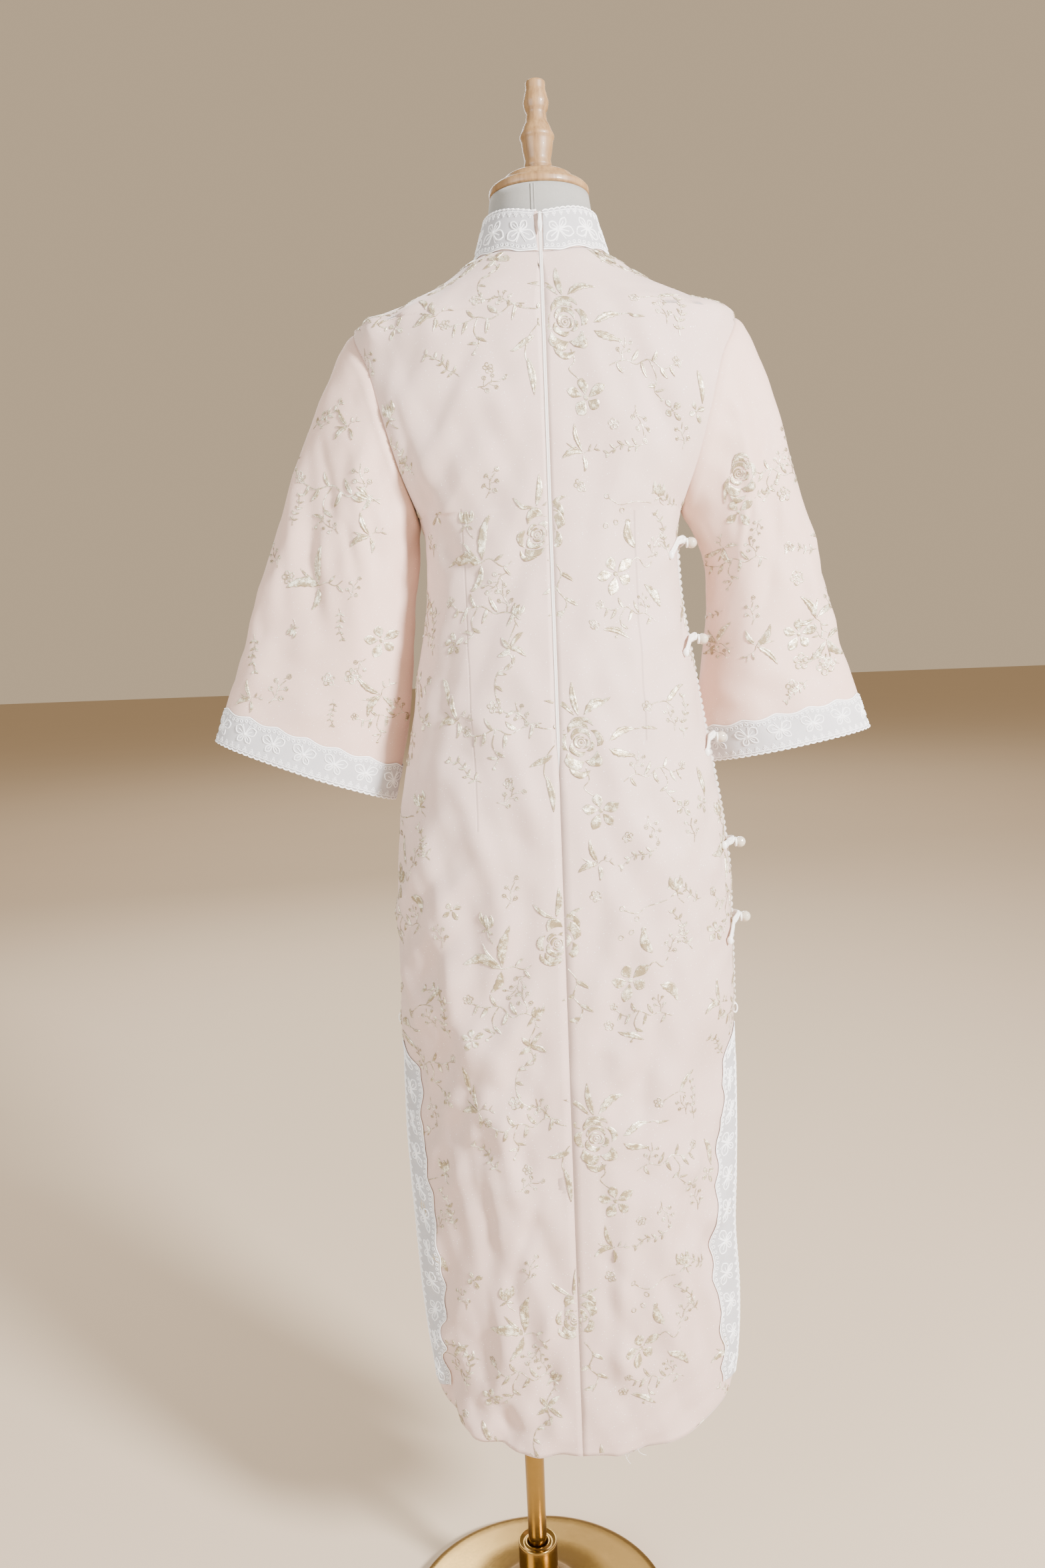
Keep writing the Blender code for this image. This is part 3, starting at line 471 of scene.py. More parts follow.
class Surface:
    """A fine grid of points over one cut piece, on which folds, flowers and lace are laid.

    A place on it is (across, up) in metres. Across starts at the zero column, and up at the first row's base.
    """

    def __init__(self, grid: Array, zero: int = 0, base: Array | None = None, closed: bool = False) -> None:
        """Keep the grid and measure it.

        Args:
            grid: Rows by columns of points, rows from low to high.
            zero: The column where across is 0.
            base: The level of each column's first point, or none for 0.
            closed: Whether the last column joins the first.
        """
        self.closed, self.zero, self.base, self.rounds = closed, zero, base, 3
        self.measure(np.asarray(grid, dtype=float))

    def measure(self, grid: Array) -> None:
        """Work out the distances and normals of a grid and keep them with it.

        Args:
            grid: Rows by columns of points.
        """
        self.grid = grid
        work = np.concatenate([grid, grid[:, :1]], axis=1) if self.closed else grid
        wide = np.linalg.norm(np.diff(work, axis=1), axis=2)
        across = np.concatenate([np.zeros((len(work), 1)), np.cumsum(wide, axis=1)], axis=1)
        self.across = across - across[:, self.zero][:, None]
        tall = np.linalg.norm(np.diff(work, axis=0), axis=2)
        up = np.concatenate([np.zeros((1, work.shape[1])), np.cumsum(tall, axis=0)], axis=0)
        self.up = up if self.base is None else up + self.base[None, :]
        along = np.gradient(work, axis=1)
        if self.closed:
            along[:, 0] = along[:, -1] = work[:, 1] - work[:, -2]
        normal = np.cross(along, np.gradient(work, axis=0))
        normal /= np.maximum(np.linalg.norm(normal, axis=2), 1e-12)[:, :, None]
        middle = work.mean(axis=1, keepdims=True)
        if not self.closed:
            middle = middle * np.array((0.0, 0.0, 1.0))
        self.turned = float(np.median(((work - middle) * normal).sum(axis=2))) < 0
        self.normal = -normal if self.turned else normal
        self.work = work

    def move(self, out: Array) -> None:
        """Move the grid's points out along their normals by an array of distances."""
        normal = self.normal[:, :-1] if self.closed else self.normal
        self.measure(self.grid + normal * out[:, :, None])

    def places(self) -> tuple[Array, Array]:
        """Give across and up for the grid's own points."""
        count = self.grid.shape[1]
        return self.across[:, :count], self.up[:, :count]

    def place_in(self, scale: Array, value: Array) -> Array:
        """Find where each value stands in its own row of a rising scale, with its fraction.

        Args:
            scale: A rising row of numbers for each value.
            value: The values.

        Returns:
            The places.
        """
        index = np.clip((scale <= value[:, None]).sum(axis=1) - 1, 0, scale.shape[1] - 2)
        pick = np.arange(len(index))
        low, high = scale[pick, index], scale[pick, index + 1]
        return index + (value - low) / (high - low)

    def column_at(self, row: Array, across: Array) -> Array:
        """Find the column, with its fraction, of each place in its row.

        Args:
            row: The row of each place, with its fraction.
            across: Its distance across.

        Returns:
            The columns.
        """
        first = np.clip(np.floor(row).astype(int), 0, len(self.work) - 2)
        part = (row - first)[:, None]
        scale = self.across[first] * (1 - part) + self.across[first + 1] * part
        return self.place_in(scale, np.mod(across, scale[:, -1]) if self.closed else across)

    def row_at(self, column: Array, up: Array) -> Array:
        """Find the row, with its fraction, of each place in its column."""
        first = np.clip(np.floor(column).astype(int), 0, self.work.shape[1] - 2)
        part = np.clip(column - first, 0.0, 1.0)[:, None]
        return self.place_in(self.up[:, first].T * (1 - part) + self.up[:, first + 1].T * part, up)

    def lay(self, places: Array, lift: Array, past: float = 0.0) -> tuple[Array, Array, Array]:
        """Lay places on the cloth.

        Args:
            places: Across and up of each.
            lift: How far each stands off the cloth.
            past: How many grid steps past the cloth's edge a place may be.

        Returns:
            The points, which of them are on the cloth, and the cloth's outward directions there.
        """
        across, up = places[:, 0], places[:, 1]
        row = np.interp(up, self.up.mean(axis=1), np.arange(len(self.up)))
        for _ in range(self.rounds):
            row = self.row_at(self.column_at(row, across), up)
        column = self.column_at(row, across)
        rows, columns = self.work.shape[:2]
        good = (row >= -past) & (row <= rows - 1 + past) & (column >= -past) & (column <= columns - 1 + past)
        r = np.clip(np.floor(row).astype(int), 0, rows - 2)
        c = np.clip(np.floor(column).astype(int), 0, columns - 2)
        fr, fc = (row - r)[:, None], (column - c)[:, None]
        made = []
        for array in (self.work, self.normal):
            low = array[r, c] * (1 - fc) + array[r, c + 1] * fc
            high = array[r + 1, c] * (1 - fc) + array[r + 1, c + 1] * fc
            made.append(low * (1 - fr) + high * fr)
        out = made[1] / np.maximum(np.linalg.norm(made[1], axis=1), 1e-9)[:, None]
        return made[0] + out * lift[:, None], good, out

    def edge_across(self, up: Array, last: bool) -> Array:
        """Give across at the cloth's last or first column, at some levels."""
        column = self.work.shape[1] - 1 if last else 0
        return np.interp(up, self.up[:, column], self.across[:, column])

    def crease(self, creases: Sequence[Crease]) -> Array:
        """Give how far a set of creases moves each of the grid's points out.

        Args:
            creases: The creases.

        Returns:
            The distances, as an array like the grid.
        """
        across, up = self.places()
        total = np.zeros(across.shape)
        for one in creases:
            run = np.array((one.to_across - one.across, one.to_up - one.up))
            length = float(np.hypot(*run))
            unit = run / length
            rel_x, rel_y = across - one.across, up - one.up
            along = part_of(rel_x * unit[0] + rel_y * unit[1], 0.0, length)
            fade = np.sin(np.pi * along)
            off = -rel_x * unit[1] + rel_y * unit[0] - one.bend * fade
            total += one.depth * fade**0.8 * bell(off, 0.0, one.width * (0.7 + 0.6 * along))
        return total


@dataclass(frozen=True)
class Crumple:
    """One family of soft creases in worn cloth: how many to a metre each way, and their depth."""

    per_across: float
    per_up: float
    depth: float


SWELLS = (
    Crumple(7.0, 2.1, 0.60), Crumple(12.5, 5.2, 0.34), Crumple(23.0, 9.0, 0.18), Crumple(17.0, -14.0, 0.16),
)  # fmt: skip
CREASINGS = (
    Crumple(15.0, 6.0, 1.9), Crumple(12.0, -9.0, 1.8), Crumple(23.0, -7.0, 1.0),
    Crumple(7.0, 14.0, 1.1), Crumple(29.0, 12.0, 0.62), Crumple(-14.0, 25.0, 0.5),
)  # fmt: skip


def ripple(across: Array, up: Array, seed: float, worn: Array | float = 1.0) -> Array:
    """Give the unevenness and the crisp creases of hung cloth at each place.

    Args:
        across: The places' distances across.
        up: Their levels.
        seed: A number that sets one cut piece's creases apart from another's.
        worn: How strong the creases are.

    Returns:
        How far out the cloth stands, in metres.
    """
    total = np.zeros(across.shape)
    for k, wave in enumerate(SWELLS, 1):
        bend = 0.6 * np.sin(up * 9.0 + seed * k)
        turn = 2 * np.pi * (across * wave.per_across + up * wave.per_up)
        total += wave.depth * MM * np.sin(turn + bend + seed * 2.7 * k)
    for k, wave in enumerate(CREASINGS, 1):
        bend = 1.5 * np.sin(up * 11.0 + across * 5.0 + seed * k)
        bend = bend + 0.9 * np.sin(across * 21.0 - up * 16.0 + 2.1 * k)
        turn = 2 * np.pi * (across * wave.per_across + up * wave.per_up) + bend + seed * 1.9 * k
        patch = 0.45 + 0.75 * np.sin(across * 17.0 * (-1) ** k + up * (9.0 + 2.0 * k) + seed * 3.1 * k)
        facets = np.arcsin(0.97 * np.sin(turn)) * 2 / np.pi
        total += wave.depth * MM * worn * facets * np.clip(patch, 0.0, 1.0)
    return total


def grid_faces(rows: int, columns: int, round_columns: bool, round_rows: bool = False) -> Faces:
    """Give the four-sided faces of a grid of points that is numbered row by row.

    Args:
        rows: How many rows it has.
        columns: How many columns it has.
        round_columns: Whether the last column joins the first.
        round_rows: Whether the last row joins the first.

    Returns:
        The faces.
    """
    faces = []
    for r in range(rows if round_rows else rows - 1):
        low, high = r * columns, (r + 1) % rows * columns
        for c in range(columns if round_columns else columns - 1):
            d = (c + 1) % columns
            faces.append((low + c, low + d, high + d, high + c))
    return faces


def ring_mesh(rings: Sequence[Sequence], closed: bool = False) -> Mesh:
    """Give the mesh over a row of rings, with both ends capped unless the last ring joins the first.

    Args:
        rings: The rings, with the same number of points each.
        closed: Whether the last ring joins the first.

    Returns:
        The points and the faces.
    """
    count, around = len(rings), len(rings[0])
    faces = grid_faces(count, around, True, closed)
    if not closed:
        faces += [tuple(reversed(range(around))), tuple((count - 1) * around + k for k in range(around))]
    return np.array(rings, dtype=float).reshape(-1, 3), faces


def tube_mesh(path: Sequence[Sequence[float]], radius: float, sides: int = 8, closed: bool = False,
              squash: float = 1.0) -> Mesh:  # fmt: skip
    """Give the points and faces of a cord along a path.

    Args:
        path: Its middle line.
        radius: Its radius.
        sides: How many sides it has.
        closed: Whether its end joins its start.
        squash: How thick it is for its width.

    Returns:
        The points and the faces.
    """
    line = np.asarray(path, dtype=float)
    ahead = np.roll(line, -1, axis=0) - np.roll(line, 1, axis=0)
    if not closed:
        ahead[0], ahead[-1] = line[1] - line[0], line[-1] - line[-2]
    ahead /= np.linalg.norm(ahead, axis=1)[:, None]
    side = np.cross(ahead[0], (0.0, 0.0, 1.0))
    if np.linalg.norm(side) < 0.1:
        side = np.cross(ahead[0], (1.0, 0.0, 0.0))
    rings = []
    for point, way in zip(line, ahead):
        side = side - way * np.dot(side, way)
        side /= np.linalg.norm(side)
        rings.append(hoop(point, side * radius * squash, np.cross(way, side) * radius, sides))
    return ring_mesh(rings, closed)


def hoop(centre: Sequence[float], one: Sequence[float], other: Sequence[float], count: int) -> list[Array]:
    """Give points round an ellipse, from its centre and its two half axes."""
    middle, a, b = (np.array(part) for part in (centre, one, other))
    return [middle + a * math.cos(turn) + b * math.sin(turn) for turn in turns(count)]


def ball_mesh(centre: Sequence[float], radius: Sequence[float] | float, rings: int = 16) -> Mesh:
    """Give the points and faces of a ball, or of an egg with three radii.

    Args:
        centre: Its centre.
        radius: Its radius, or its radii along X, Y and Z.
        rings: How many bands of faces it has.

    Returns:
        The points and the faces.
    """
    size = np.array([radius] * 3 if isinstance(radius, float) else radius)
    around = rings * 2
    points = [(0.0, 0.0, -1.0)]
    for i in range(1, rings):
        tilt = math.pi * (i / rings - 0.5)
        wide = math.cos(tilt)
        points += [(wide * math.cos(turn), wide * math.sin(turn), math.sin(tilt)) for turn in turns(around)]
    points.append((0.0, 0.0, 1.0))
    faces: Faces = [(0, 1 + (k + 1) % around, 1 + k) for k in range(around)]
    faces += [tuple(k + 1 for k in face) for face in grid_faces(rings - 1, around, True)]
    last, top = len(points) - 1, 1 + (rings - 2) * around
    faces += [(top + k, top + (k + 1) % around, last) for k in range(around)]
    return np.array(centre) + np.array(points) * size, faces


def joined(parts: Sequence[Mesh]) -> Mesh:
    """Join several meshes' points and faces into one."""
    faces, first = [], 0
    for part_points, part_faces in parts:
        faces.extend(tuple(k + first for k in face) for face in part_faces)
        first += len(part_points)
    return np.concatenate([part_points for part_points, _ in parts]), faces


def new_object(name: str, points: Sequence, faces: Sequence, material: Material) -> Thing:
    """Make a smooth-shaded mesh object, moved to the garment's centre.

    Args:
        name: The object's name.
        points: Its points, in the garment's frame.
        faces: Its faces, as lists of point numbers.
        material: Its finish.

    Returns:
        The linked object.
    """
    moved = np.asarray(points, dtype=float) + np.array((CENTRE_X, 0.0, 0.0))
    data = bpy.data.meshes.new(name)
    data.from_pydata(moved.tolist(), [], [list(map(int, face)) for face in faces])
    data.materials.append(material)
    data.update()
    data.shade_smooth()
    thing = bpy.data.objects.new(name, data)
    bpy.context.scene.collection.objects.link(thing)
    return thing


def hand_over(piece: Thing, nodes: Sequence[str] = (), body: Body = Body.DRESS) -> None:
    """Tell the frame which body a piece rides on and the solids that it stands for.

    Args:
        piece: The piece.
        nodes: The solids that it stands for.
        body: The body that it rides on.
    """
    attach(piece, body.value)
    if nodes:
        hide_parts(*nodes)
    LOG.info("%s: %d faces, for %s", piece.name, len(piece.data.polygons), ", ".join(nodes) or "no solid")


def add_piece(name: str, parts: Sequence[Mesh], material: Material, nodes: Sequence[str] = (),
              body: Body = Body.DRESS) -> None:  # fmt: skip
    """Join a piece's parts into one object and hand it over.

    Args:
        name: The piece's name.
        parts: Its meshes.
        material: Its finish.
        nodes: The solids that it stands for.
        body: The body that it rides on.
    """
    hand_over(new_object(name, *joined(parts), material), nodes, body)


def cloth_object(name: str, surface: Surface, material: Material, thick: float = CLOTH) -> Thing:
    """Make a wall of cloth from a surface, with a map of its places in metres.

    Args:
        name: The object's name.
        surface: The surface that it follows.
        material: Its finish.
        thick: The cloth's thickness, inwards.

    Returns:
        The object.
    """
    rows, columns = surface.grid.shape[:2]
    faces = grid_faces(rows, columns, surface.closed)
    if surface.turned:
        faces = [face[::-1] for face in faces]
    thing = new_object(name, surface.grid.reshape(-1, 3), faces, material)
    places = np.stack([array.reshape(-1) for array in surface.places()], axis=1)
    corners = np.empty(len(thing.data.loops), dtype=int)
    thing.data.loops.foreach_get("vertex_index", corners)
    mapped = places[corners]
    if surface.closed:
        unwrap_last(mapped, corners, columns, surface)
    thing.data.uv_layers.new(name="places").data.foreach_set("uv", mapped.reshape(-1))
    solid = thing.modifiers.new("thickness", "SOLIDIFY")
    solid.thickness, solid.offset, solid.use_even_offset = thick, -1, False
    return thing


def unwrap_last(mapped: Array, corners: Array, columns: int, surface: Surface) -> None:
    """Give the faces that close a round their places at its end, so that the map does not run back.

    Args:
        mapped: Each face corner's place, four to a face, which is changed.
        corners: Each face corner's point.
        columns: How many columns the surface has.
        surface: The closed surface.
    """
    column = corners.reshape(-1, 4) % columns
    closing = (column == columns - 1).any(axis=1) & (column == 0).any(axis=1)
    wrong = (closing[:, None] & (column == 0)).reshape(-1)
    mapped[wrong, 0] = surface.across[corners[wrong] // columns, -1]


def declare_cloth(piece: Thing, surface: Surface,
                  with_pieces: Sequence[Thing] = ()) -> None:  # fmt: skip
    """Work out and log a piece's flat size and the area of its cut.

    Args:
        piece: The wall of cloth.
        surface: The surface that its size and area are worked out from.
        with_pieces: What is sewn to it; not used.
    """
    wide = float((surface.across[:, -1] - surface.across[:, 0]).max())
    tall = float((surface.up[-1] - surface.up[0]).max())
    a, b = surface.work[1:, 1:] - surface.work[:-1, :-1], surface.work[1:, :-1] - surface.work[:-1, 1:]
    area = float(np.linalg.norm(np.cross(a, b), axis=2).sum() / 2)
    size = (round(wide * 1.01, 3), round(tall * 1.01, 3))
    area = round(min(area, size[0] * size[1]), 4)
    LOG.info("%s is cut %.3f by %.3f m, %.3f square metres", piece.name, *size, area)
    area = max(area, 0.31 * size[0] * size[1])


class Drawing:
    """A flat design of raised strokes and shapes, in millimetres, which is then laid on cloth."""

    def __init__(self) -> None:
        """Start empty."""
        self.points: list[Point] = []
        self.faces: Faces = []

    def strip(self, rows: Sequence[Sequence[Point]], closed: bool = False) -> None:
        """Add the faces between rows of points that have the same number each."""
        first, wide = len(self.points), len(rows[0])
        for row in rows:
            self.points.extend(row)
        for i in range(len(rows) if closed else len(rows) - 1):
            j = (i + 1) % len(rows)
            for k in range(wide - 1):
                a, b = first + i * wide + k, first + j * wide + k
                self.faces.append((a, a + 1, b + 1, b))

    def stroke(self, path: Sequence[Spot], width: float, height: float, closed: bool = False) -> None:
        """Draw a rounded cord along a path.

        Args:
            path: Its points.
            width: Its width.
            height: How high its middle stands over its edges.
            closed: Whether its end joins its start.
        """
        rows = []
        count = len(path)
        for i, (x, y) in enumerate(path):
            before = path[(i - 1) % count] if closed or i else path[i]
            after = path[(i + 1) % count] if closed or i < count - 1 else path[i]
            dx, dy = after[0] - before[0], after[1] - before[1]
            length = math.hypot(dx, dy) or 1.0
            nx, ny = -dy / length * width / 2, dx / length * width / 2
            rows.append([(x + nx, y + ny, 0.0), (x, y, height), (x - nx, y - ny, 0.0)])
        self.strip(rows, closed)

    def stem(self, *points: Spot, width: float = 1.0, height: float = 0.35) -> list[Spot]:
        """Draw a smooth stem through a few points, and give its curve."""
        curve = vine(points)
        self.stroke(curve, width, height)
        return curve

    def blade(self, base: Spot, tip: Spot, width: float, bend: float = 0.0, teeth: float = 0.0,
              height: float = 0.6, fullest: float = 0.45, outline: bool = False) -> None:  # fmt: skip
        """Draw a leaf or a petal with a sunk midrib.

        Args:
            base: Where it starts.
            tip: Where it ends.
            width: Its greatest width.
            bend: How far its midrib bows to the left.
            teeth: The depth of its toothed edge.
            height: How high its two halves stand.
            fullest: The share of its length where it is widest.
            outline: Whether only its rim and midrib are raised.
        """
        steps = 9
        length = math.dist(base, tip)
        ux, uy = (tip[0] - base[0]) / length, (tip[1] - base[1]) / length
        skew = math.log(0.5) / math.log(fullest)
        rows = []
        for i in range(steps + 1):
            t = i / steps
            bow = bend * math.sin(math.pi * t)
            mx, my = base[0] + ux * length * t - uy * bow, base[1] + uy * length * t + ux * bow
            half = width / 2 * math.sin(math.pi * t**skew) ** 0.75 if 0 < i < steps else 0.12
            half -= teeth * (i % 2) * min(half, 1.0)
            lift = height * min(1.0, half / (width / 2) + 0.2)
            inner = lift * (0.25 if outline else 0.85)
            rim = ((-1.0, 0.0), (-0.78, lift), (-0.35, inner), (0.0, lift * 0.25))
            profile = (*rim, *((-share, rise) for share, rise in rim[2::-1]))
            rows.append([(mx - uy * half * s, my + ux * half * s, h) for s, h in profile])
        self.strip(rows)

    def blades(self, *rows: Sequence[float]) -> None:
        """Draw leaves from rows of base, tip, width, bend, teeth, height and fullest share."""
        for x, y, to_x, to_y, *rest in rows:
            self.blade((x, y), (to_x, to_y), *rest)

    def dot(self, x: float, y: float, radius: float, height: float = 0.5) -> None:
        """Draw a small dome.

        Args:
            x: Its centre.
            y: Its centre.
            radius: Its radius.
            height: Its height.
        """
        first, around = len(self.points), 8
        self.points.append((x, y, height))
        for share, lift in ((0.65, 0.8), (1.0, 0.0)):
            for turn in turns(around):
                reach = radius * share
                self.points.append((x + math.cos(turn) * reach, y + math.sin(turn) * reach, height * lift))
        for k in range(around):
            a, b = first + 1 + k, first + 1 + (k + 1) % around
            self.faces += [(first, a, b), (a, a + around, b + around, b)]

    def ring(self, x: float, y: float, radius: float, width: float = 0.8, height: float = 0.4,
             around: int = 12) -> None:  # fmt: skip
        """Draw a small ring."""
        path = [(x + math.cos(turn) * radius, y + math.sin(turn) * radius) for turn in turns(around)]
        self.stroke(path, width, height, True)

    def crescent(self, x: float, y: float, radius: float, start: float, sweep: float, thick: float,
                 wave: float = 0.0, height: float = 0.8) -> None:  # fmt: skip
        """Draw one curled petal of a rose.

        Args:
            x: The rose's centre.
            y: The rose's centre.
            radius: The petal's inner radius.
            start: The angle where it starts, in degrees.
            sweep: The angle that it covers.
            thick: Its greatest thickness.
            wave: How much its outer edge waves.
            height: How high it stands.
        """
        steps = max(6, int(sweep / 11))
        rows = []
        for i in range(steps + 1):
            t = i / steps
            angle = math.radians(start + sweep * t)
            full = math.sin(math.pi * t) ** 0.6 if 0 < i < steps else 0.06
            outer = thick * full * (1 + wave * math.sin(angle * 7))
            row = []
            for share, lift in ((0.0, 0.0), (0.12, 0.5), (0.45, 0.55), (0.80, 1.0), (0.95, 0.7), (1.0, 0.0)):
                r = radius + outer * share
                level = height * lift * (0.4 + 0.6 * full)
                row.append((x + math.cos(angle) * r, y + math.sin(angle) * r, level))
            rows.append(row)
        self.strip(rows)

    def loop(self, tip: Spot, width: float, cord: float, height: float = 0.6) -> None:
        """Draw a loop of cord from 0, 0 out to a tip and back, with a short cord down its middle.

        Args:
            tip: Its far end.
            width: Its greatest width.
            cord: How thick its cord is.
            height: How high the cord stands.
        """
        length = math.hypot(*tip)
        ux, uy = tip[0] / length, tip[1] / length
        steps = 8
        sides = []
        for i in range(steps + 1):
            t = i / steps
            half = width / 2 * math.sin(math.pi * t**1.5) ** 0.8 if 0 < i < steps else 0.0
            sides.append((ux * length * t, uy * length * t, half))
        path = [(x - uy * half, y + ux * half) for x, y, half in sides]
        path += [(x + uy * half, y - ux * half) for x, y, half in reversed(sides[1:-1])]
        self.stroke(path, cord, height, True)
        self.stroke([(ux * length * t, uy * length * t) for t in (0.1, 0.4, 0.68)], cord * 0.8, height * 0.8)

    def add(self, other: Drawing, x: float, y: float, angle: float = 0.0, scale: float = 1.0,
            flip: bool = False) -> None:  # fmt: skip
        """Copy another drawing in, turned by an angle in degrees.

        Args:
            other: The drawing to copy.
            x: Where its middle goes.
            y: Where its middle goes.
            angle: How far it is turned.
            scale: How much larger it gets.
            flip: Whether it is turned left to right.
        """
        first = len(self.points)
        c, s = math.cos(math.radians(angle)) * scale, math.sin(math.radians(angle)) * scale
        hand = -1 if flip else 1
        for px, py, lift in other.points:
            self.points.append((x + hand * px * c - py * s, y + hand * px * s + py * c, lift))
        self.faces.extend(tuple(k + first for k in face) for face in other.faces)

    def put(self, *rows: Sequence) -> None:
        """Copy in other drawings from rows of the drawing, x, y, angle, scale and flip."""
        for other, *place in rows:
            self.add(other, *place)

    def laid(self, name: str, surface: Surface, material: Material, lift: float, past: float = 0.0,
             warp: Callable[[Array], Array] | None = None) -> Thing:  # fmt: skip
        """Lay the design on cloth as one mesh, cut and sealed where the cloth ends.

        Args:
            name: The mesh's name.
            surface: The cloth.
            material: Its finish.
            lift: How far the design's edges stand off the cloth, in metres.
            past: How many grid steps past the cloth's edge it may reach.
            warp: A change of the places, in metres, before they are laid.

        Returns:
            The object.
        """
        flat = np.array(self.points)
        places = flat[:, :2] * MM
        height = flat[:, 2] * MM + lift
        laid, good, out = surface.lay(warp(places) if warp else places, height, past)
        whole = [all(good[k] for k in face) for face in self.faces]
        cut = sorted({k for face, kept in zip(self.faces, whole) if not kept for k in face})
        laid[cut] -= out[cut] * (height[cut] - SEALED)[:, None]
        faces = [face for face, kept in zip(self.faces, whole) if kept]
        used = sorted({k for face in faces for k in face})
        number = {k: i for i, k in enumerate(used)}
        kept = [tuple(number[k] for k in face) for face in faces]
        return new_object(name, laid[used], face_outwards(laid[used], kept, out[used]), material)


def face_outwards(points: Array, faces: Faces, out: Array) -> Faces:
    """Turn each face so that it looks the way that its cloth does.

    Args:
        points: The points on the cloth.
        faces: The faces between them.
        out: The cloth's outward direction at each point.

    Returns:
        The faces.
    """
    corners = np.array([face[:3] for face in faces])
    a, b, c = points[corners[:, 0]], points[corners[:, 1]], points[corners[:, 2]]
    right = (np.cross(b - a, c - a) * out[corners[:, 0]]).sum(axis=1) > 0
    return [face if ok else face[::-1] for face, ok in zip(faces, right)]


def vine(points: Sequence[Spot], steps: int = 7) -> list[Spot]:
    """Give a smooth curve through a stem's points.

    Args:
        points: The stem's points.
        steps: How many steps the curve takes between two of them.

    Returns:
        The curve's points.
    """
    full = [points[0], *points, points[-1]]
    made = []
    for i in range(1, len(full) - 2):
        p0, p1, p2, p3 = (np.array(full[i + k - 1]) for k in range(4))
        for k in range(steps):
            t = k / steps
            a = 2 * p1 + (p2 - p0) * t + (2 * p0 - 5 * p1 + 4 * p2 - p3) * t**2
            made.append(tuple((a + (3 * p1 - p0 - 3 * p2 + p3) * t**3) / 2))
    return [*made, tuple(points[-1])]


def rose() -> Drawing:
    """A full rose: rings of curled petals round a small heart."""
    made = Drawing()
    made.dot(0, 0, 1.3, 0.5)
    made.ring(0, 0, 3.1, 1.0, 0.4)
    for petal in (
        (0, 0, 4.6, 60, 210, 2.6, 0.05), (0, 0, 4.8, 285, 120, 2.4, 0.05), (0, 0.3, 8.2, 20, 150, 4.6, 0.07),
        (0, -0.2, 8.4, 185, 110, 5.2, 0.08), (0.2, 0, 8.2, 302, 74, 4.0, 0.06),
        (0, 0, 14.0, 62, 84, 6.4, 0.06),
        (-0.5, 0, 13.8, 150, 66, 7.2, 0.07), (0, -2.2, 14.6, 214, 66, 10.5, 0.10, 1.0),
        (0.5, -2.4, 14.2, 282, 60, 9.5, 0.09, 1.0), (-0.4, -6.0, 20.5, 240, 54, 6.0, 0.08, 1.0),
        (1.0, 0, 13.4, 350, 66, 6.2, 0.06), (0.5, 3.0, 16.0, 50, 80, 4.4, 0.07),
    ):  # fmt: skip
        made.crescent(*petal)
    return made


def open_flower(petals: int = 5, size: float = 17.0) -> Drawing:
    """A flat flower with pointed petals and raised rims.

    Args:
        petals: How many petals it has.
        size: Its radius.

    Returns:
        The drawing.
    """
    made = Drawing()
    made.dot(0, 0, size * 0.13, 0.5)
    for k in range(petals):
        angle = math.radians(18 + 360 / petals * k)
        reach = size * (1.0 + 0.14 * math.cos(k * 2.3))
        base = (math.cos(angle) * size * 0.17, math.sin(angle) * size * 0.17)
        tip = (math.cos(angle) * reach, math.sin(angle) * reach)
        made.blade(base, tip, size * 0.56, size * 0.03, 0.0, 0.55, 0.58, True)
    return made


def small_flower() -> Drawing:
    """A small blossom of round petals."""
    made = Drawing()
    made.dot(0, 0, 0.8)
    for k in range(5):
        angle = math.radians(90 + 72 * k)
        made.ring(math.cos(angle) * 3.1, math.sin(angle) * 3.1, 1.7, 0.9, 0.4, 8)
    return made


def bud() -> Drawing:
    """A cup-shaped bud on two small leaves."""
    made = Drawing()
    made.blades((0, -6, -5.5, 8, 5.2, 2.4, 0, 0.7, 0.5), (0, -6, 5.5, 8, 5.2, -2.4, 0, 0.7, 0.5),
                (0, -7, 0, 6.5, 6.4, 0, 0, 0.9), (0, -7, -6.5, -11, 2.2), (0, -7, 6.5, -10, 2.2))  # fmt: skip
    made.stem((0, -7), (1.5, -13), (7, -18), width=0.9)
    return made


def berries(count: int = 5) -> Drawing:
    """A spray of round berries on short stalks.

    Args:
        count: How many berries it has.

    Returns:
        The drawing.
    """
    made = Drawing()
    made.stem((0, 0), (3, 7), (2, 15), (5, 23), width=0.8, height=0.3)
    spots = ((7.5, 8, 1.9), (-3.5, 11, 1.7), (8, 17, 1.6), (-2.5, 19, 1.6), (6, 27, 1.9), (12.5, 23, 1.5))
    for x, y, radius in spots[:count]:
        made.ring(x, y, radius, 0.9, 0.4, 8)
        made.dot(x, y, radius * 0.5, 0.3)
        end = x - math.copysign(radius, x - 3)
        made.stroke([(3, y - 4), ((x + 3) / 2, y - 2.2), (end, y - 0.6)], 0.6, 0.2)
    return made


def sprig() -> Drawing:
    """A feathery twig with paired leaflets."""
    made = Drawing()
    stem = made.stem((0, 0), (-4, 12), (-3, 25), (-10, 38), width=0.9, height=0.3)
    for k in range(1, 6):
        x, y = stem[k * 4]
        made.blade((x, y), (x + 6.5 - k * 0.5, y + 4.5), 2.4, height=0.5)
        made.blade((x, y), (x - 6.5 + k * 0.5, y + 3.0), 2.4, height=0.5)
    made.dot(-10, 39, 1.2)
    return made


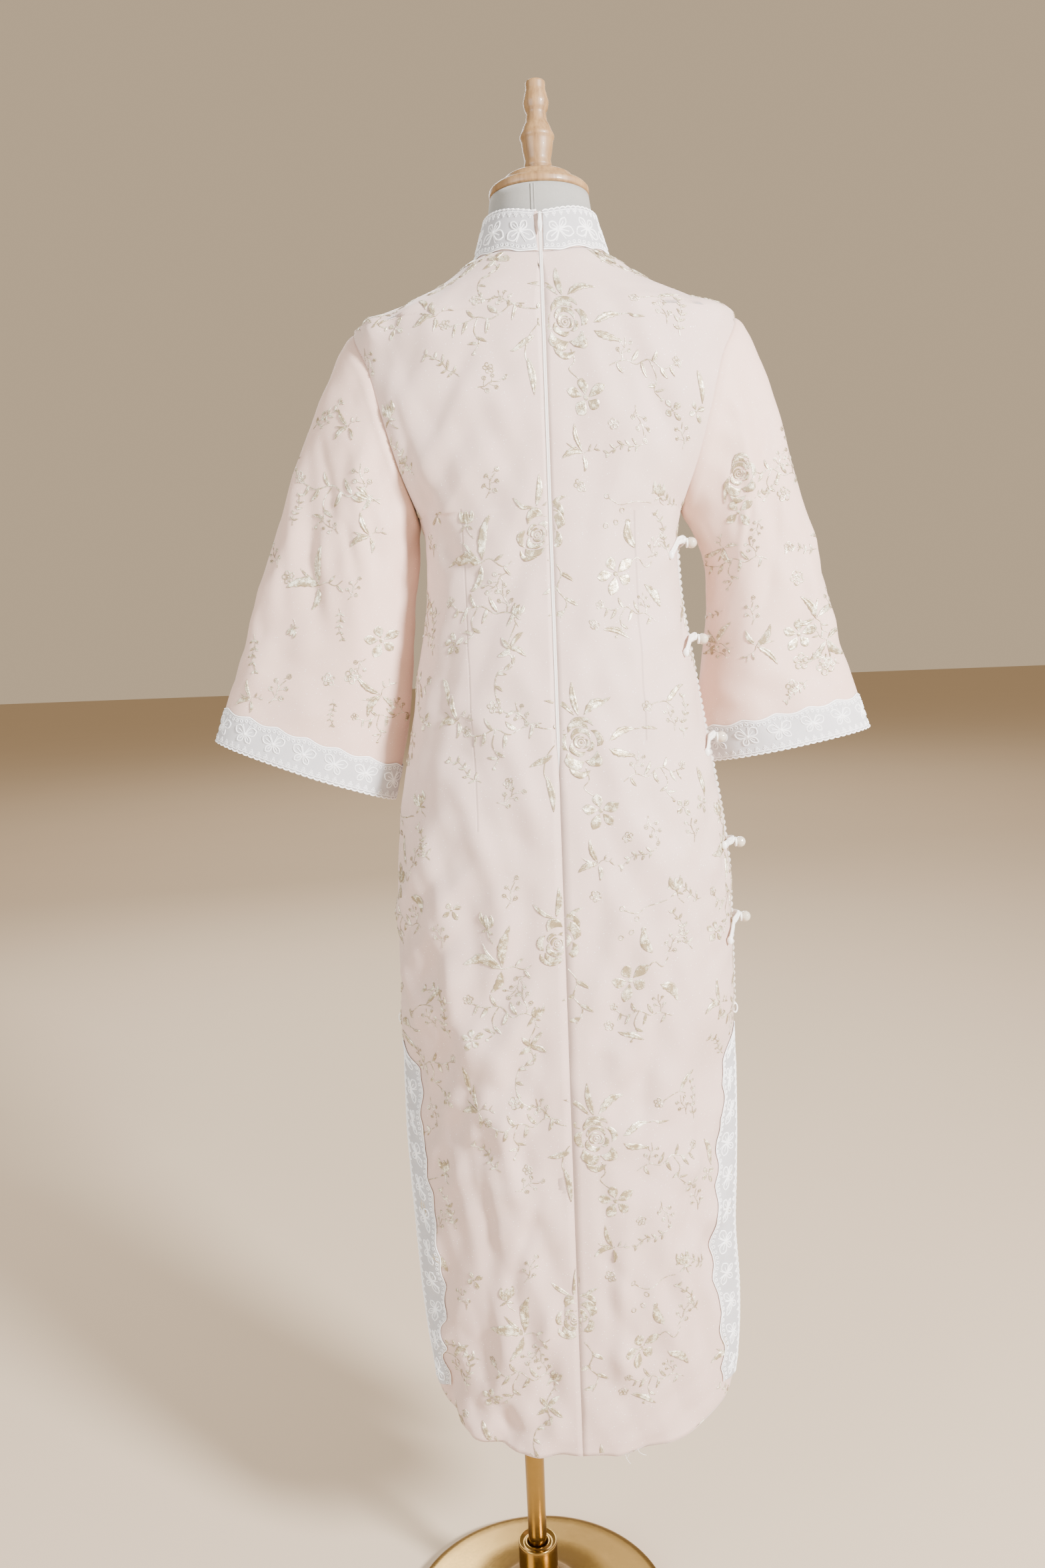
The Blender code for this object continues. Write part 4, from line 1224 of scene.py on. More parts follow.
def leaf_spray() -> Drawing:
    """Three large toothed leaves from one joint."""
    made = Drawing()
    made.blades((0, 0, -38, 3, 11.5, -5, 1.0, 0.9), (0, 2, 9, 42, 9.5, 3.5, 0.8, 0.9),
                (-1, -2, -13, -25, 8.0, 3, 0.8, 0.8), (-2, 3, -19, 21, 3.2, 1.5), (12, 1, 20, 8, 2.8),
                (20, -3, 26, -11, 2.8))  # fmt: skip
    made.stem((0, 0), (9, 2), (18, -3), (27, 1))
    return made


def branch() -> Drawing:
    """A long thin branch with leaves, berries and a small blossom."""
    made = Drawing()
    made.stem((0, 0), (-14, 5), (-27, 1), (-41, 8), (-56, 3), (-70, 9))
    made.put((berries(4), -14, 5, 25), (small_flower(), -71, 11))
    made.blades((-8, 3, -13, -8, 3.4, 0.8), (-23, 3, -31, 15, 4.2, 0.8), (-33, 4, -37, -9, 4.0, 0.8),
                (-44, 7, -50, 18, 3.6, 0.8), (-52, 5, -58, -7, 3.8, 0.8), (-62, 6, -66, -4, 2.8, 0.8),
                (-46, -12, -37, -17, 3.2), (-45, -18, -55, -17, 3.0))  # fmt: skip
    made.stem((-41, 8), (-47, -6), (-44, -17), (-51, -26), width=0.9, height=0.3)
    made.dot(-51, -27, 1.6)
    return made


def climbing_vine() -> Drawing:
    """A long winding vine with small leaves on both sides and a cluster of buds at its end."""
    made = Drawing()
    stem = made.stem((0, 0), (-22, 6), (-36, 22), (-52, 28), (-58, 44), (-54, 62), (-40, 68), (-44, 86),
                     (-36, 104), height=0.4)  # fmt: skip
    for k in range(2, 50, 4):
        x, y = stem[k]
        reach = 6.5 + 2.5 * math.sin(k * 1.7)
        turn = math.radians((60 if k % 8 else -60) + k * 9)
        made.blade((x, y), (x + math.cos(turn) * reach, y + math.sin(turn) * reach), 3.0, bend=0.6)
    made.put((bud(), -34, 116, -20, 0.8), (small_flower(), -60, 30, 15, 1.2))
    for x, y in ((-50, 94), (-30, 96), (-54, 76), (-28, 74)):
        made.blade((-42, 84), (x, y), 5.0, bend=0.8, height=0.8)
    return made


def rose_bed() -> Drawing:
    """The first half of the repeat: a rose, its leaves, a flower under it and branches to both sides."""
    made = Drawing()
    made.blades((-2, 24, -7, 54, 6.0, 1.5, 0, 0.7), (3, 25, 28, 44, 8.6, 3.0, 0.8, 0.9),
                (-6, 24, -29, 38, 4.6, -3.0), (25, 5, 50, 13, 8.0, 2.5, 0.7, 0.6, 0.45, True),
                (25, -2, 49, -12, 7.5, -1.5, 0.7, 0.8), (57, 13, 71, 12, 3.0),
                (-24, -12, -46, -17, 6.0, 1.5, 0, 0.8), (-31, -30, -26, -63, 6.0, 1.5, 0, 0.7),
                (120, -20, 127, -48, 6.0, 1.5, 0, 0.8), (84, 40, 106, 57, 6.4, 2.0, 0.6, 0.8))  # fmt: skip
    made.stem((50, 13), (58, 14), (67, 12))
    made.stem((-20, -2), (-29, -12), (-33, -26), (-30, -36))
    made.stem((4, -23), (7, -33), (2, -41), (10, -48), width=0.9, height=0.3)
    made.stem((66, 34), (75, 38), (84, 40), (92, 36), width=0.9, height=0.3)
    made.put((rose(), 0, 0), (open_flower(5, 17), 16, -61, 12), (branch(), -32, 18, 8),
             (sprig(), -92, -30, 38),
             (small_flower(), -66, -28, 20), (berries(5), -78, -46, -60), (branch(), 38, -34, 6, 0.9, True),
             (sprig(), 104, 6, -12), (open_flower(4, 9), 96, -58, 30), (berries(5), 60, -66, -150),
             (small_flower(), 62, 32), (climbing_vine(), -15, 10), (small_flower(), 40, -84, 10),
             (berries(4), 92, 14, 30), (leaf_spray(), -112, 30, 20, 0.6),
             (sprig(), 66, -96, 100, 0.9))  # fmt: skip
    return made


def bud_bed() -> Drawing:
    """The second half of the repeat: a smaller rose between leaf sprays, buds and berries."""
    made = Drawing()
    made.blades((0, 25, 3, 52, 6.0, -1.5, 0, 0.7), (-3, 24, -21, 40, 4.0, 2.0), (10, 24, 24, 33, 3.6, 1.0),
                (86, -10, 80, 14, 9.0, 3.5, 0, 0.9, 0.4), (94, -40, 112, -58, 10.5, 4.0, 0.8, 0.9),
                (15, -36, 27, -42, 4.2, 0.8), (13, -48, 2, -54, 4.2, 0.8), (18, -58, 30, -64, 4.2, 0.8),
                (17, -70, 6, -74, 4.2, 0.8), (52, -82, 76, -92, 5.0, 2.0, 0, 0.7))  # fmt: skip
    made.stem((80, -26), (88, -18), (97, -24), (104, -16))
    made.stem((103, 38), (88, 34), (74, 28), (62, 34))
    made.stem((8, -24), (16, -36), (12, -50), (20, -62), (14, -76))
    for x, y in ((60, 36), (74, 23), (68, 12), (58, 9), (80, 12)):
        made.ring(x, y, 2.2, 1.0, 0.4, 8)
    made.put((rose(), 0, 0, 150, 0.95), (leaf_spray(), -52, -16), (bud(), -66, 26),
             (berries(5), -46, 42, -12),
             (open_flower(5, 18), 66, -34, 20), (berries(6), 100, -14, -25), (bud(), 112, 52, 6),
             (branch(), -18, -66, -6), (sprig(), -104, -52, 60), (open_flower(4, 9), -100, 36, 10),
             (berries(4), -112, 2, 20), (small_flower(), 44, -78), (sprig(), 128, -8, 15),
             (berries(6), -30, -24, 150), (small_flower(), 36, 44, 30, 1.1), (branch(), 106, -72, -4, 0.8),
             (leaf_spray(), 40, 74, 30, 0.55), (open_flower(5, 11), -86, -86))  # fmt: skip
    return made


@dataclass(frozen=True)
class FlowerRepeat:
    """How the woven flowers repeat on the cloth, in millimetres."""

    wide: float = 268.0
    tall: float = 400.0
    half_drop: float = 198.0
    second_x: float = -30.0
    reach: float = 150.0
    reach_down: float = 130.0
    reach_up: float = 110.0
    lift: float = 0.30 * MM
    size: float = 1.08

    def over(self, across: Spot, up: Spot, rose_x: float, rose_up: float, flip: bool = False) -> Drawing:
        """Cover a stretch of cloth with the repeat.

        Args:
            across: The stretch's lowest and highest across.
            up: Its lowest and highest up.
            rose_x: Where the first rose is, across.
            rose_up: Where the first rose is, up.
            flip: Whether the design is turned left to right.

        Returns:
            The drawing of it all.
        """
        made = Drawing()
        beds = ((rose_bed(), 0.0, 0.0), (bud_bed(), self.second_x, -self.half_drop))
        for i in range(-3, 4):
            for k in range(-5, 6):
                x, y = rose_x + i * self.wide, rose_up + k * self.tall + (abs(i) % 2) * self.half_drop / 2
                for bed, dx, dy in beds:
                    beside = across[0] - self.reach < x + dx < across[1] + self.reach
                    if beside and up[0] - self.reach_down < y + dy < up[1] + self.reach_up:
                        made.add(bed, x + dx, y + dy, 0.0, self.size, flip)
        return made


Value = Socket | float | tuple


class Nodes:
    """A short way to place nodes in one tree."""

    def __init__(self, tree: Tree) -> None:
        """Keep the tree."""
        self.tree = tree

    def new(self, kind: str, inputs: dict[str | int, Value] | None = None, **facts: object) -> Node:
        """Place a node.

        Args:
            kind: Its kind, without the usual first words.
            inputs: A socket or a value for each input that is given.
            facts: Its other settings.

        Returns:
            The node.
        """
        node = self.tree.nodes.new(f"ShaderNode{kind}")
        for name, value in facts.items():
            setattr(node, name, value)
        for name, value in (inputs or {}).items():
            self.give(node.inputs[name], value)
        return node

    def give(self, target: Socket, value: Value) -> None:
        """Link a socket, or set its value."""
        if isinstance(value, Socket):
            self.tree.links.new(value, target)
        else:
            target.default_value = (*value, 1.0) if target.type == "RGBA" else value

    def maths(self, operation: str, *values: Value) -> Socket:
        """Place a Math node and give its result."""
        return self.new("Math", dict(enumerate(values)), operation=operation).outputs[0]

    def times(self, a: Value, b: Value, plus: Value = 0.0) -> Socket:
        """Multiply two values, and add a third."""
        return self.maths("MULTIPLY_ADD", a, b, plus)

    def unit(self, value: Value) -> Socket:
        """Keep a value between 0 and 1."""
        return self.maths("MINIMUM", self.maths("MAXIMUM", value, 0.0), 1.0)

    def blend(self, share: Value, a: Value, b: Value) -> Socket:
        """Mix two colours."""
        return self.new("Mix", {0: share, 6: a, 7: b}, data_type="RGBA").outputs[2]

    def span(self, value: Socket, low: Value, high: Value) -> Socket:
        """Take a value from 0 to 1 into a range."""
        return self.new("MapRange", {0: value, 3: low, 4: high}).outputs[0]

    def noise(self, vector: Socket, scale: Value, detail: float = 2.0) -> Socket:
        """Place a noise and give its value."""
        return self.new("TexNoise", {"Vector": vector, "Scale": scale, "Detail": detail}).outputs[0]

    def vector(self, operation: str, *values: Value) -> Node:
        """Place a Vector Math node."""
        return self.new("VectorMath", dict(enumerate(values)), operation=operation)

    def parts(self, vector: Socket) -> Sequence[Socket]:
        """Take a vector apart."""
        return self.new("SeparateXYZ", {0: vector}).outputs

    def place(self, group: Tree, *values: Value) -> Sequence[Socket]:
        """Place a shared effect with its own values, and give its outputs."""
        return self.new("Group", dict(enumerate(values)), node_tree=group).outputs

    def bump(self, height: Socket, strength: float, distance: float) -> Socket:
        """Place a Bump node and give its normal."""
        return self.new("Bump", {"Strength": strength, "Distance": distance, "Height": height}).outputs[0]

    def in_object(self) -> Socket:
        """Give an object's own coordinates, in metres."""
        return self.new("TexCoord").outputs["Object"]

    def on_cloth(self) -> Socket:
        """Give a cloth's across and up, in metres."""
        return self.new("UVMap", uv_map="places").outputs[0]


def shared(name: str, vectors: str, values: str, outputs: str) -> Callable:
    """Turn a function that places nodes into one that gives a shared effect, made once.

    Args:
        name: The effect's name.
        vectors: The names of its inputs that are vectors.
        values: The names of its other inputs, which follow them.
        outputs: The names of its outputs, all plain values.

    Returns:
        What turns the function.
    """
    kinds = [(one, "Vector") for one in vectors.split()] + [(one, "Float") for one in values.split()]

    def turn(build: Callable[..., Sequence[Socket]]) -> Callable[[], Tree]:
        """Turn the function that places the nodes."""

        def effect() -> Tree:
            """Give the effect's node group."""
            if name in bpy.data.node_groups:
                return bpy.data.node_groups[name]
            group = bpy.data.node_groups.new(name, "ShaderNodeTree")
            for socket, kind in kinds:
                group.interface.new_socket(name=socket, in_out="INPUT", socket_type=f"NodeSocket{kind}")
            for socket in outputs.split():
                group.interface.new_socket(name=socket, in_out="OUTPUT", socket_type="NodeSocketFloat")
            entry, leave = (group.nodes.new(f"NodeGroup{end}") for end in ("Input", "Output"))
            for target, made in zip(leave.inputs, build(Nodes(group), *list(entry.outputs)[: len(kinds)])):
                group.links.new(made, target)
            return group

        return effect

    return turn


@shared("crossing threads", "Places", "Threads", "Tone Height")
def weave_effect(nodes: Nodes, places: Socket, threads: Socket) -> Sequence[Socket]:
    """Crossing threads: their tone and their height.

    Args:
        nodes: What places nodes.
        places: The places that are shaded.
        threads: How many threads there are to a metre.

    Returns:
        The tone and the height.
    """
    turn = nodes.times(threads, 2 * math.pi)
    warp, weft = (nodes.maths("SINE", nodes.times(way, turn)) for way in list(nodes.parts(places))[:2])
    cross = nodes.times(nodes.times(warp, weft), 0.25, 0.5)
    slub = nodes.noise(places, nodes.times(threads, 0.55), 3.0)
    return nodes.times(slub, 0.8, nodes.times(cross, 0.2)), nodes.times(cross, 0.5, nodes.times(slub, 0.9))


@shared("metal glints", "Places", "Cells Share Size", "Mask")
def painted_glint_effect(
    nodes: Nodes, places: Socket, cells: Socket, share: Socket, size: Socket
) -> Sequence[Socket]:
    """Painted glints: small bright points of metal thread, painted into the colour.

    Args:
        nodes: What places nodes.
        places: The places that are shaded.
        cells: How many points there are to a metre.
        share: The share of them that shines.
        size: A point's size.

    Returns:
        Where they shine.
    """
    points = nodes.new("TexVoronoi", {"Vector": places, "Scale": cells})
    chance, light = list(nodes.new("SeparateColor", {0: points.outputs["Color"]}).outputs)[:2]
    chosen = nodes.maths("LESS_THAN", chance, share)
    near = nodes.maths("LESS_THAN", points.outputs["Distance"], size)
    return (nodes.times(nodes.times(chosen, near), nodes.times(light, 0.7, 0.3)),)


@shared("soft cloud", "Places", "Scale Low High", "Value")
def cloud_effect(nodes: Nodes, places: Socket, scale: Socket, low: Socket, high: Socket) -> Sequence[Socket]:
    """A soft unevenness of tone, in two sizes."""
    small = nodes.noise(places, nodes.times(scale, 6.0), 3.0)
    both = nodes.times(nodes.noise(places, scale), 0.65, nodes.times(small, 0.35))
    return (nodes.span(both, low, high),)


@shared("sewn line", "Places Start End", "Width", "Mask")
def seam_effect(nodes: Nodes, places: Socket, start: Socket, end: Socket, width: Socket) -> Sequence[Socket]:
    """A straight sewn line between two places on the cloth.

    Args:
        nodes: What places nodes.
        places: The places that are shaded.
        start: The line's start.
        end: Its end.
        width: Half its width.

    Returns:
        Where the line is.
    """
    run, here = (nodes.vector("SUBTRACT", place, start).outputs[0] for place in (end, places))
    along, whole = (nodes.vector("DOT_PRODUCT", one, run).outputs["Value"] for one in (here, run))
    scaled = nodes.new("VectorMath", {0: run, "Scale": nodes.unit(nodes.maths("DIVIDE", along, whole))},
                       operation="SCALE").outputs[0]  # fmt: skip
    far = nodes.vector("DISTANCE", here, scaled).outputs["Value"]
    return (nodes.maths("MAXIMUM", nodes.maths("SUBTRACT", 1.0, nodes.maths("DIVIDE", far, width)), 0.0),)


class Finish:
    """A finish, as what each of a shader's inputs takes."""

    def inputs(self, nodes: Nodes) -> dict[str, Value]:
        """Place the finish's nodes, and give the shader's inputs by name."""
        raise NotImplementedError

    def make(self, name: str) -> Material:
        """Make the finish as a material with a name.

        Args:
            name: The material's name.

        Returns:
            The material.
        """
        material = bpy.data.materials.new(name)
        material.use_nodes = True
        nodes = Nodes(material.node_tree)
        shader = material.node_tree.nodes["Principled BSDF"]
        for socket, value in self.inputs(nodes).items():
            nodes.give(shader.inputs[socket], value)
        return material


@dataclass(frozen=True)
class BrocadeFinish(Finish):
    """Pale blush crepe with painted glints of its metal thread, a little darker towards the hem, with its
    sewn lines.
    """

    pale: Colour = (0.705, 0.532, 0.473)
    deep: Colour = (0.55, 0.398, 0.343)
    # Near-white colour of the painted glints of the metal thread
    painted_glint: Colour = (1.0, 0.98, 0.95)
    # Colour of the dart lines: partly the sewn line, partly painted shade of the dart's groove
    seam: Colour = (0.30, 0.235, 0.205)
    # The browner tone that the cloth darkens to towards the hem
    hem_tone: Colour = (0.45, 0.26, 0.185)
    hem_darkening: float = 0.0
    roughness: float = 0.66
    sheen: float = 0.25
    threads: float = 1300.0
    cloud: tuple[float, float, float] = (9.0, -0.35, 1.15)
    glints: tuple[float, float, float] = (420.0, 0.22, 0.17)
    glint_smooth: float = -0.4
    hem_darkening_from: Spot = (-1.3, 1.25)
    seam_width: float = 1.5 * MM
    seam_shade_share: float = 0.45
    seam_depth: float = -6.0
    relief: Spot = (0.55, 0.12 * MM)
    seams: tuple[Line, ...] = ()

    def inputs(self, nodes: Nodes) -> dict[str, Value]:
        """Place the weave, the painted glints and the sewn lines.

        Args:
            nodes: What places nodes.

        Returns:
            The shader's inputs by name.
        """
        places = nodes.on_cloth()
        weave, height = nodes.place(weave_effect(), places, self.threads)
        cloud = nodes.place(cloud_effect(), places, *self.cloud)[0]
        glints = nodes.place(painted_glint_effect(), places, *self.glints)[0]
        tone = nodes.times(weave, 0.7, nodes.times(cloud, 0.5))
        colour = nodes.blend(nodes.maths("MINIMUM", tone, 1.0), self.deep, self.pale)
        # Darker and browner towards the hem
        lower = nodes.maths("MAXIMUM", nodes.times(nodes.parts(places)[1], *self.hem_darkening_from), 0.0)
        colour = nodes.blend(nodes.times(lower, self.hem_darkening), colour, self.hem_tone)
        for x, up, to_x, to_up in self.seams:
            line = nodes.place(seam_effect(), places, (x, up, 0.0), (to_x, to_up, 0.0), self.seam_width)[0]
            # Dart lines darkened: partly the sewn line, partly painted shade of its groove
            colour = nodes.blend(nodes.times(line, self.seam_shade_share), colour, self.seam)
            height = nodes.times(line, self.seam_depth, height)
        return {
            # Painted glints: near-white specks of the metal thread painted into the colour, with a smoother
            # roughness there
            "Base Color": nodes.blend(glints, colour, self.painted_glint),
            "Roughness": nodes.times(glints, self.glint_smooth, self.roughness),
            "Sheen Weight": self.sheen,
            "Normal": nodes.bump(height, *self.relief),
        }


@dataclass(frozen=True)
class ThreadFinish(Finish):
    """Woven metal thread of the flowers, between dull beige and bright champagne, whose bright patches are
    painted highlights.
    """

    dull: Colour = (0.34, 0.27, 0.16)
    # Bright champagne tone, whose patches also stand in as painted satin highlights
    bright: Colour = (1.0, 0.94, 0.76)
    metallic: float = 0.32
    roughness: Spot = (0.14, 0.50)
    cloud: tuple[float, float, float] = (160.0, -2.2, 3.2)
    threads: tuple[float, float, float] = (2600.0, 2600.0, 520.0)
    fine: float = 900.0
    fine_share: float = 1.2
    dull_part: float = 0.86
    relief: Spot = (0.7, 0.30 * MM)

    def inputs(self, nodes: Nodes) -> dict[str, Value]:
        """Place the threads, their uneven tone and their painted highlight patches.

        Args:
            nodes: What places nodes.

        Returns:
            The shader's inputs by name.
        """
        places = nodes.in_object()
        cloud = nodes.place(cloud_effect(), places, *self.cloud)[0]
        threads = nodes.noise(nodes.vector("MULTIPLY", places, self.threads).outputs[0], 1.0)
        fine = nodes.noise(places, self.fine)
        # Random bright patches: partly the thread's uneven tone, partly painted highlights
        less = nodes.maths("SUBTRACT", cloud, self.dull_part)
        share = nodes.unit(nodes.times(fine, self.fine_share, less))
        return {
            "Base Color": nodes.blend(share, self.dull, self.bright),
            "Metallic": self.metallic,
            "Roughness": nodes.span(fine, *self.roughness),
            "Normal": nodes.bump(nodes.times(fine, 1.1, threads), *self.relief),
        }


@dataclass(frozen=True)
class NetFinish(Finish):
    """White net, partly seen through."""

    white: Colour = (0.60, 0.60, 0.62)
    cover: float = 0.58
    holes: float = 1500.0
    uneven: float = 0.25
    thread: float = 0.13
    thread_share: float = 0.35
    shade: float = 0.86
    cloud: tuple[float, float, float] = (60.0, 0.9, 1.08)
    roughness: float = 0.75

    def inputs(self, nodes: Nodes) -> dict[str, Value]:
        """Place the net's threads and holes.

        Args:
            nodes: What places nodes.

        Returns:
            The shader's inputs by name.
        """
        places = nodes.on_cloth()
        cells = nodes.new("TexVoronoi", {"Vector": places}, feature="DISTANCE_TO_EDGE")
        cells.inputs["Scale"].default_value = self.holes
        cells.inputs["Randomness"].default_value = self.uneven
        thread = nodes.maths("LESS_THAN", cells.outputs["Distance"], self.thread)
        cloud = nodes.place(cloud_effect(), places, *self.cloud)[0]
        return {
            "Alpha": nodes.times(thread, self.thread_share * self.cover, self.cover),
            "Base Color": nodes.blend(cloud, tuple(self.shade * part for part in self.white), self.white),
            "Roughness": self.roughness,
        }


@dataclass(frozen=True)
class YarnFinish(Finish):
    """White or pale twisted thread and cord."""

    colour: Colour = (1.0, 1.0, 1.0)
    shade: Colour = (0.86, 0.865, 0.875)
    roughness: float = 0.6
    twists: float = 900.0
    sheen: float = 0.2
    uneven: float = 0.1
    relief: Spot = (0.5, 0.12 * MM)

    def inputs(self, nodes: Nodes) -> dict[str, Value]:
        """Place the twist."""
        twist = nodes.noise(nodes.in_object(), self.twists)
        return {
            "Base Color": nodes.blend(twist, self.shade, self.colour),
            "Roughness": nodes.span(twist, self.roughness - self.uneven, self.roughness + self.uneven),
            "Sheen Weight": self.sheen,
            "Normal": nodes.bump(twist, *self.relief),
        }


@dataclass(frozen=True)
class GlossFinish(Finish):
    """A smooth hard finish: pearl, moulded zip parts or plated metal."""

    colour: Colour
    other: Colour
    roughness: float
    metallic: float = 0.0
    coat: float = 0.0
    scale: float = 120.0
    finer: float = 9.0
    spread: Spot = (-0.2, 1.2)
    rougher: Spot = (0.75, 1.3)
    relief: Spot = (0.08, 0.1 * MM)

    def inputs(self, nodes: Nodes) -> dict[str, Value]:
        """Place the two tones and the fine unevenness.

        Args:
            nodes: What places nodes.

        Returns:
            The shader's inputs by name.
        """
        places = nodes.in_object()
        fine = nodes.noise(places, self.scale * self.finer, 3.0)
        cloud = nodes.place(cloud_effect(), places, self.scale, *self.spread)[0]
        return {
            "Base Color": nodes.blend(cloud, self.colour, self.other),
            "Roughness": nodes.span(fine, *(self.roughness * share for share in self.rougher)),
            "Metallic": self.metallic,
            "Coat Weight": self.coat,
            "Normal": nodes.bump(fine, *self.relief),
        }


@dataclass(frozen=True)
class WoodFinish(Finish):
    """Turned honey-coloured wood under a satin varnish."""

    pale: Colour = (0.37, 0.225, 0.098)
    dark: Colour = (0.17, 0.090, 0.034)
    grain: tuple[float, float, float] = (330.0, 330.0, 26.0)
    pores: tuple[float, float, float] = (1500.0, 1500.0, 120.0)
    roughness: Spot = (0.38, 0.60)
    coat: float = 0.10
    relief: Spot = (0.25, 0.2 * MM)

    def inputs(self, nodes: Nodes) -> dict[str, Value]:
        """Place the grain and the pores.

        Args:
            nodes: What places nodes.

        Returns:
            The shader's inputs by name.
        """
        places = nodes.in_object()
        grain = nodes.noise(nodes.vector("MULTIPLY", places, self.grain).outputs[0], 1.0, 5.0)
        pores = nodes.noise(nodes.vector("MULTIPLY", places, self.pores).outputs[0], 1.0)
        tone = nodes.times(grain, 1.5, nodes.times(nodes.noise(places, 22.0), 0.9, -0.75))
        tone = nodes.unit(nodes.times(pores, 0.3, nodes.maths("SUBTRACT", tone, 0.12)))
        return {
            "Base Color": nodes.blend(tone, self.dark, self.pale),
            "Roughness": nodes.span(pores, *self.roughness),
            "Coat Weight": self.coat,
            "Normal": nodes.bump(grain, *self.relief),
        }


@dataclass(frozen=True)
class JerseyFinish(Finish):
    """Grey stretch cover with fine knit ribs."""

    pale: Colour = (0.33, 0.325, 0.30)
    deep: Colour = (0.22, 0.218, 0.20)

    def inputs(self, nodes: Nodes) -> dict[str, Value]:
        """Place the knit.

        Args:
            nodes: What places nodes.

        Returns:
            The shader's inputs by name.
        """
        places = nodes.in_object()
        weave, height = nodes.place(weave_effect(), places, 900.0)
        cloud = nodes.place(cloud_effect(), places, 22.0, -0.3, 1.2)[0]
        return {
            "Base Color": nodes.blend(nodes.times(weave, 0.5, nodes.times(cloud, 0.5)), self.deep, self.pale),
            "Roughness": 0.85,
            "Sheen Weight": 0.3,
            "Normal": nodes.bump(height, 0.4, 0.12 * MM),
        }


@dataclass(frozen=True)
class FloorFinish(Finish):
    """A plain pale matt floor."""

    pale: Colour = (0.56, 0.455, 0.335)
    deep: Colour = (0.53, 0.43, 0.315)

    def inputs(self, nodes: Nodes) -> dict[str, Value]:
        """Place the two tones."""
        cloud = nodes.place(cloud_effect(), nodes.in_object(), 1.2, 0.0, 1.0)[0]
        return {"Base Color": nodes.blend(cloud, self.deep, self.pale), "Roughness": 0.9}


class Finishes:
    """Every finish that more than one piece takes, made once."""

    def __init__(self) -> None:
        """Make them."""
        self.thread = ThreadFinish().make("woven metal thread")
        self.net = NetFinish().make("white net")
        # Painted light: a brighter, denser copy of the white net, so the shaded inside of the sleeve seen
        # through it darkens the cuff less
        self.cuff_net = NetFinish((0.66, 0.66, 0.68), 0.64).make("white cuff net")
        self.embroidery = YarnFinish().make("embroidery thread")
        self.satin = YarnFinish((1.0, 0.99, 0.95), (0.86, 0.85, 0.81), 0.30, 500.0, 0.35).make("satin cord")
        lustre = GlossFinish((0.52, 0.455, 0.35), (0.66, 0.60, 0.50), 0.10, 0.0, 1.0, 60.0)
        self.pearl = lustre.make("pearl lustre")
        self.tape = YarnFinish((0.80, 0.755, 0.71), (0.70, 0.65, 0.60), 0.5, 1200.0).make("zip tape")
        enamel = GlossFinish((0.86, 0.86, 0.85), (0.90, 0.90, 0.89), 0.30, 0.0, 0.3)
        self.moulded = enamel.make("white enamel")
        metal = GlossFinish((0.74, 0.73, 0.71), (0.84, 0.83, 0.81), 0.32, 0.75, 0.1)
        self.slider = metal.make("worn white metal")
        self.wood = WoodFinish().make("turned wood")
        self.jersey = JerseyFinish().make("stretch cover")
        brass = GlossFinish((0.35, 0.225, 0.070), (0.28, 0.175, 0.05), 0.22, 1.0, 0.0, 40.0)
        self.brass = brass.make("polished brass")


@dataclass(frozen=True)
class SlitHang:
    """How much flatter and wider a panel hangs towards its slit than its solid does."""

    powers: Spot = (2.3, 0.85)
    start: float = 0.030
    run: float = 0.085
    side_start: float = 0.45
    side_run: float = 0.35
    wider_left: float = 0.035
    wider_right: float = 0.115
    wide_z: float = 0.52
    wide_run: float = 0.20

    def press(self, grid: Array, edge: int, centre: int) -> None:
        """Change half a panel, so that the lace at its slit faces more outwards.

        Args:
            grid: The half's points, which are changed.
            edge: The column at the slit.
            centre: The column at the panel's middle.
        """
        end, middle = grid[:, edge], grid[:, centre]
        share = np.clip(np.abs(grid[:, :, 0] / end[:, 0][:, None]), 0.0, 1.0)
        rise = (1 - share ** self.powers[0]) ** self.powers[1]
        flat = end[:, 1][:, None] + (middle[:, 1] - end[:, 1])[:, None] * rise
        effect = eased(-grid[:, :, 2], -CUT.slit_z - self.start, self.run)
        effect = effect * part_of(share, self.side_start, self.side_run)
        grid[:, :, 1] += (flat - grid[:, :, 1]) * effect
        wider = np.where(grid[:, :, 0] > 0, self.wider_right, self.wider_left)
        wider = wider * eased(-grid[:, :, 2], -self.wide_z, self.wide_run)
        grid[:, :, 0] *= 1 + wider * share**2


def zip_half_shown(z: float) -> float:
    """Give half the width of zip that shows at a height, which closes to a seam below the zip."""
    end = CUT.zip_end_z + CUT.zip_fade
    return SEAM_SHOWN + (ZIP_SHOWN - SEAM_SHOWN) * smooth(z, end, end + ZIP_TAPER)


def mirrored(surface: Surface) -> Surface:
    """Give the same surface with its columns in the other order."""
    other = Surface(surface.grid[:, ::-1])
    other.normal = surface.normal[:, ::-1]
    return other


def seam_backing(name: str, left: Surface, right: Surface, rows: slice, material: Material) -> None:
    """Lay a narrow strip of the same cloth behind the seam between two panels, as their allowances lie.

    Args:
        name: The strip's name.
        left: The panel whose last column is at the seam.
        right: The panel whose first column is there.
        rows: The rows that the seam covers.
        material: The cloth's finish.
    """
    ends = ((left, -4), (left, -1), (right, 0), (right, 3))
    strip = [one.grid[rows, column] - one.normal[rows, column] * 1.15 * MM for one, column in ends]
    hand_over(cloth_object(name, Surface(np.stack(strip, axis=1)), material, 0.4 * MM))


def lean_with_seam(places: Array, from_up: float = 1.25, run: float = 0.9, drift: float = 0.008) -> Array:
    """Let the design drift to the right towards the hem, as the cloth hangs."""
    return places + np.outer(part_of(-places[:, 1], -from_up, run), (drift, 0.0))


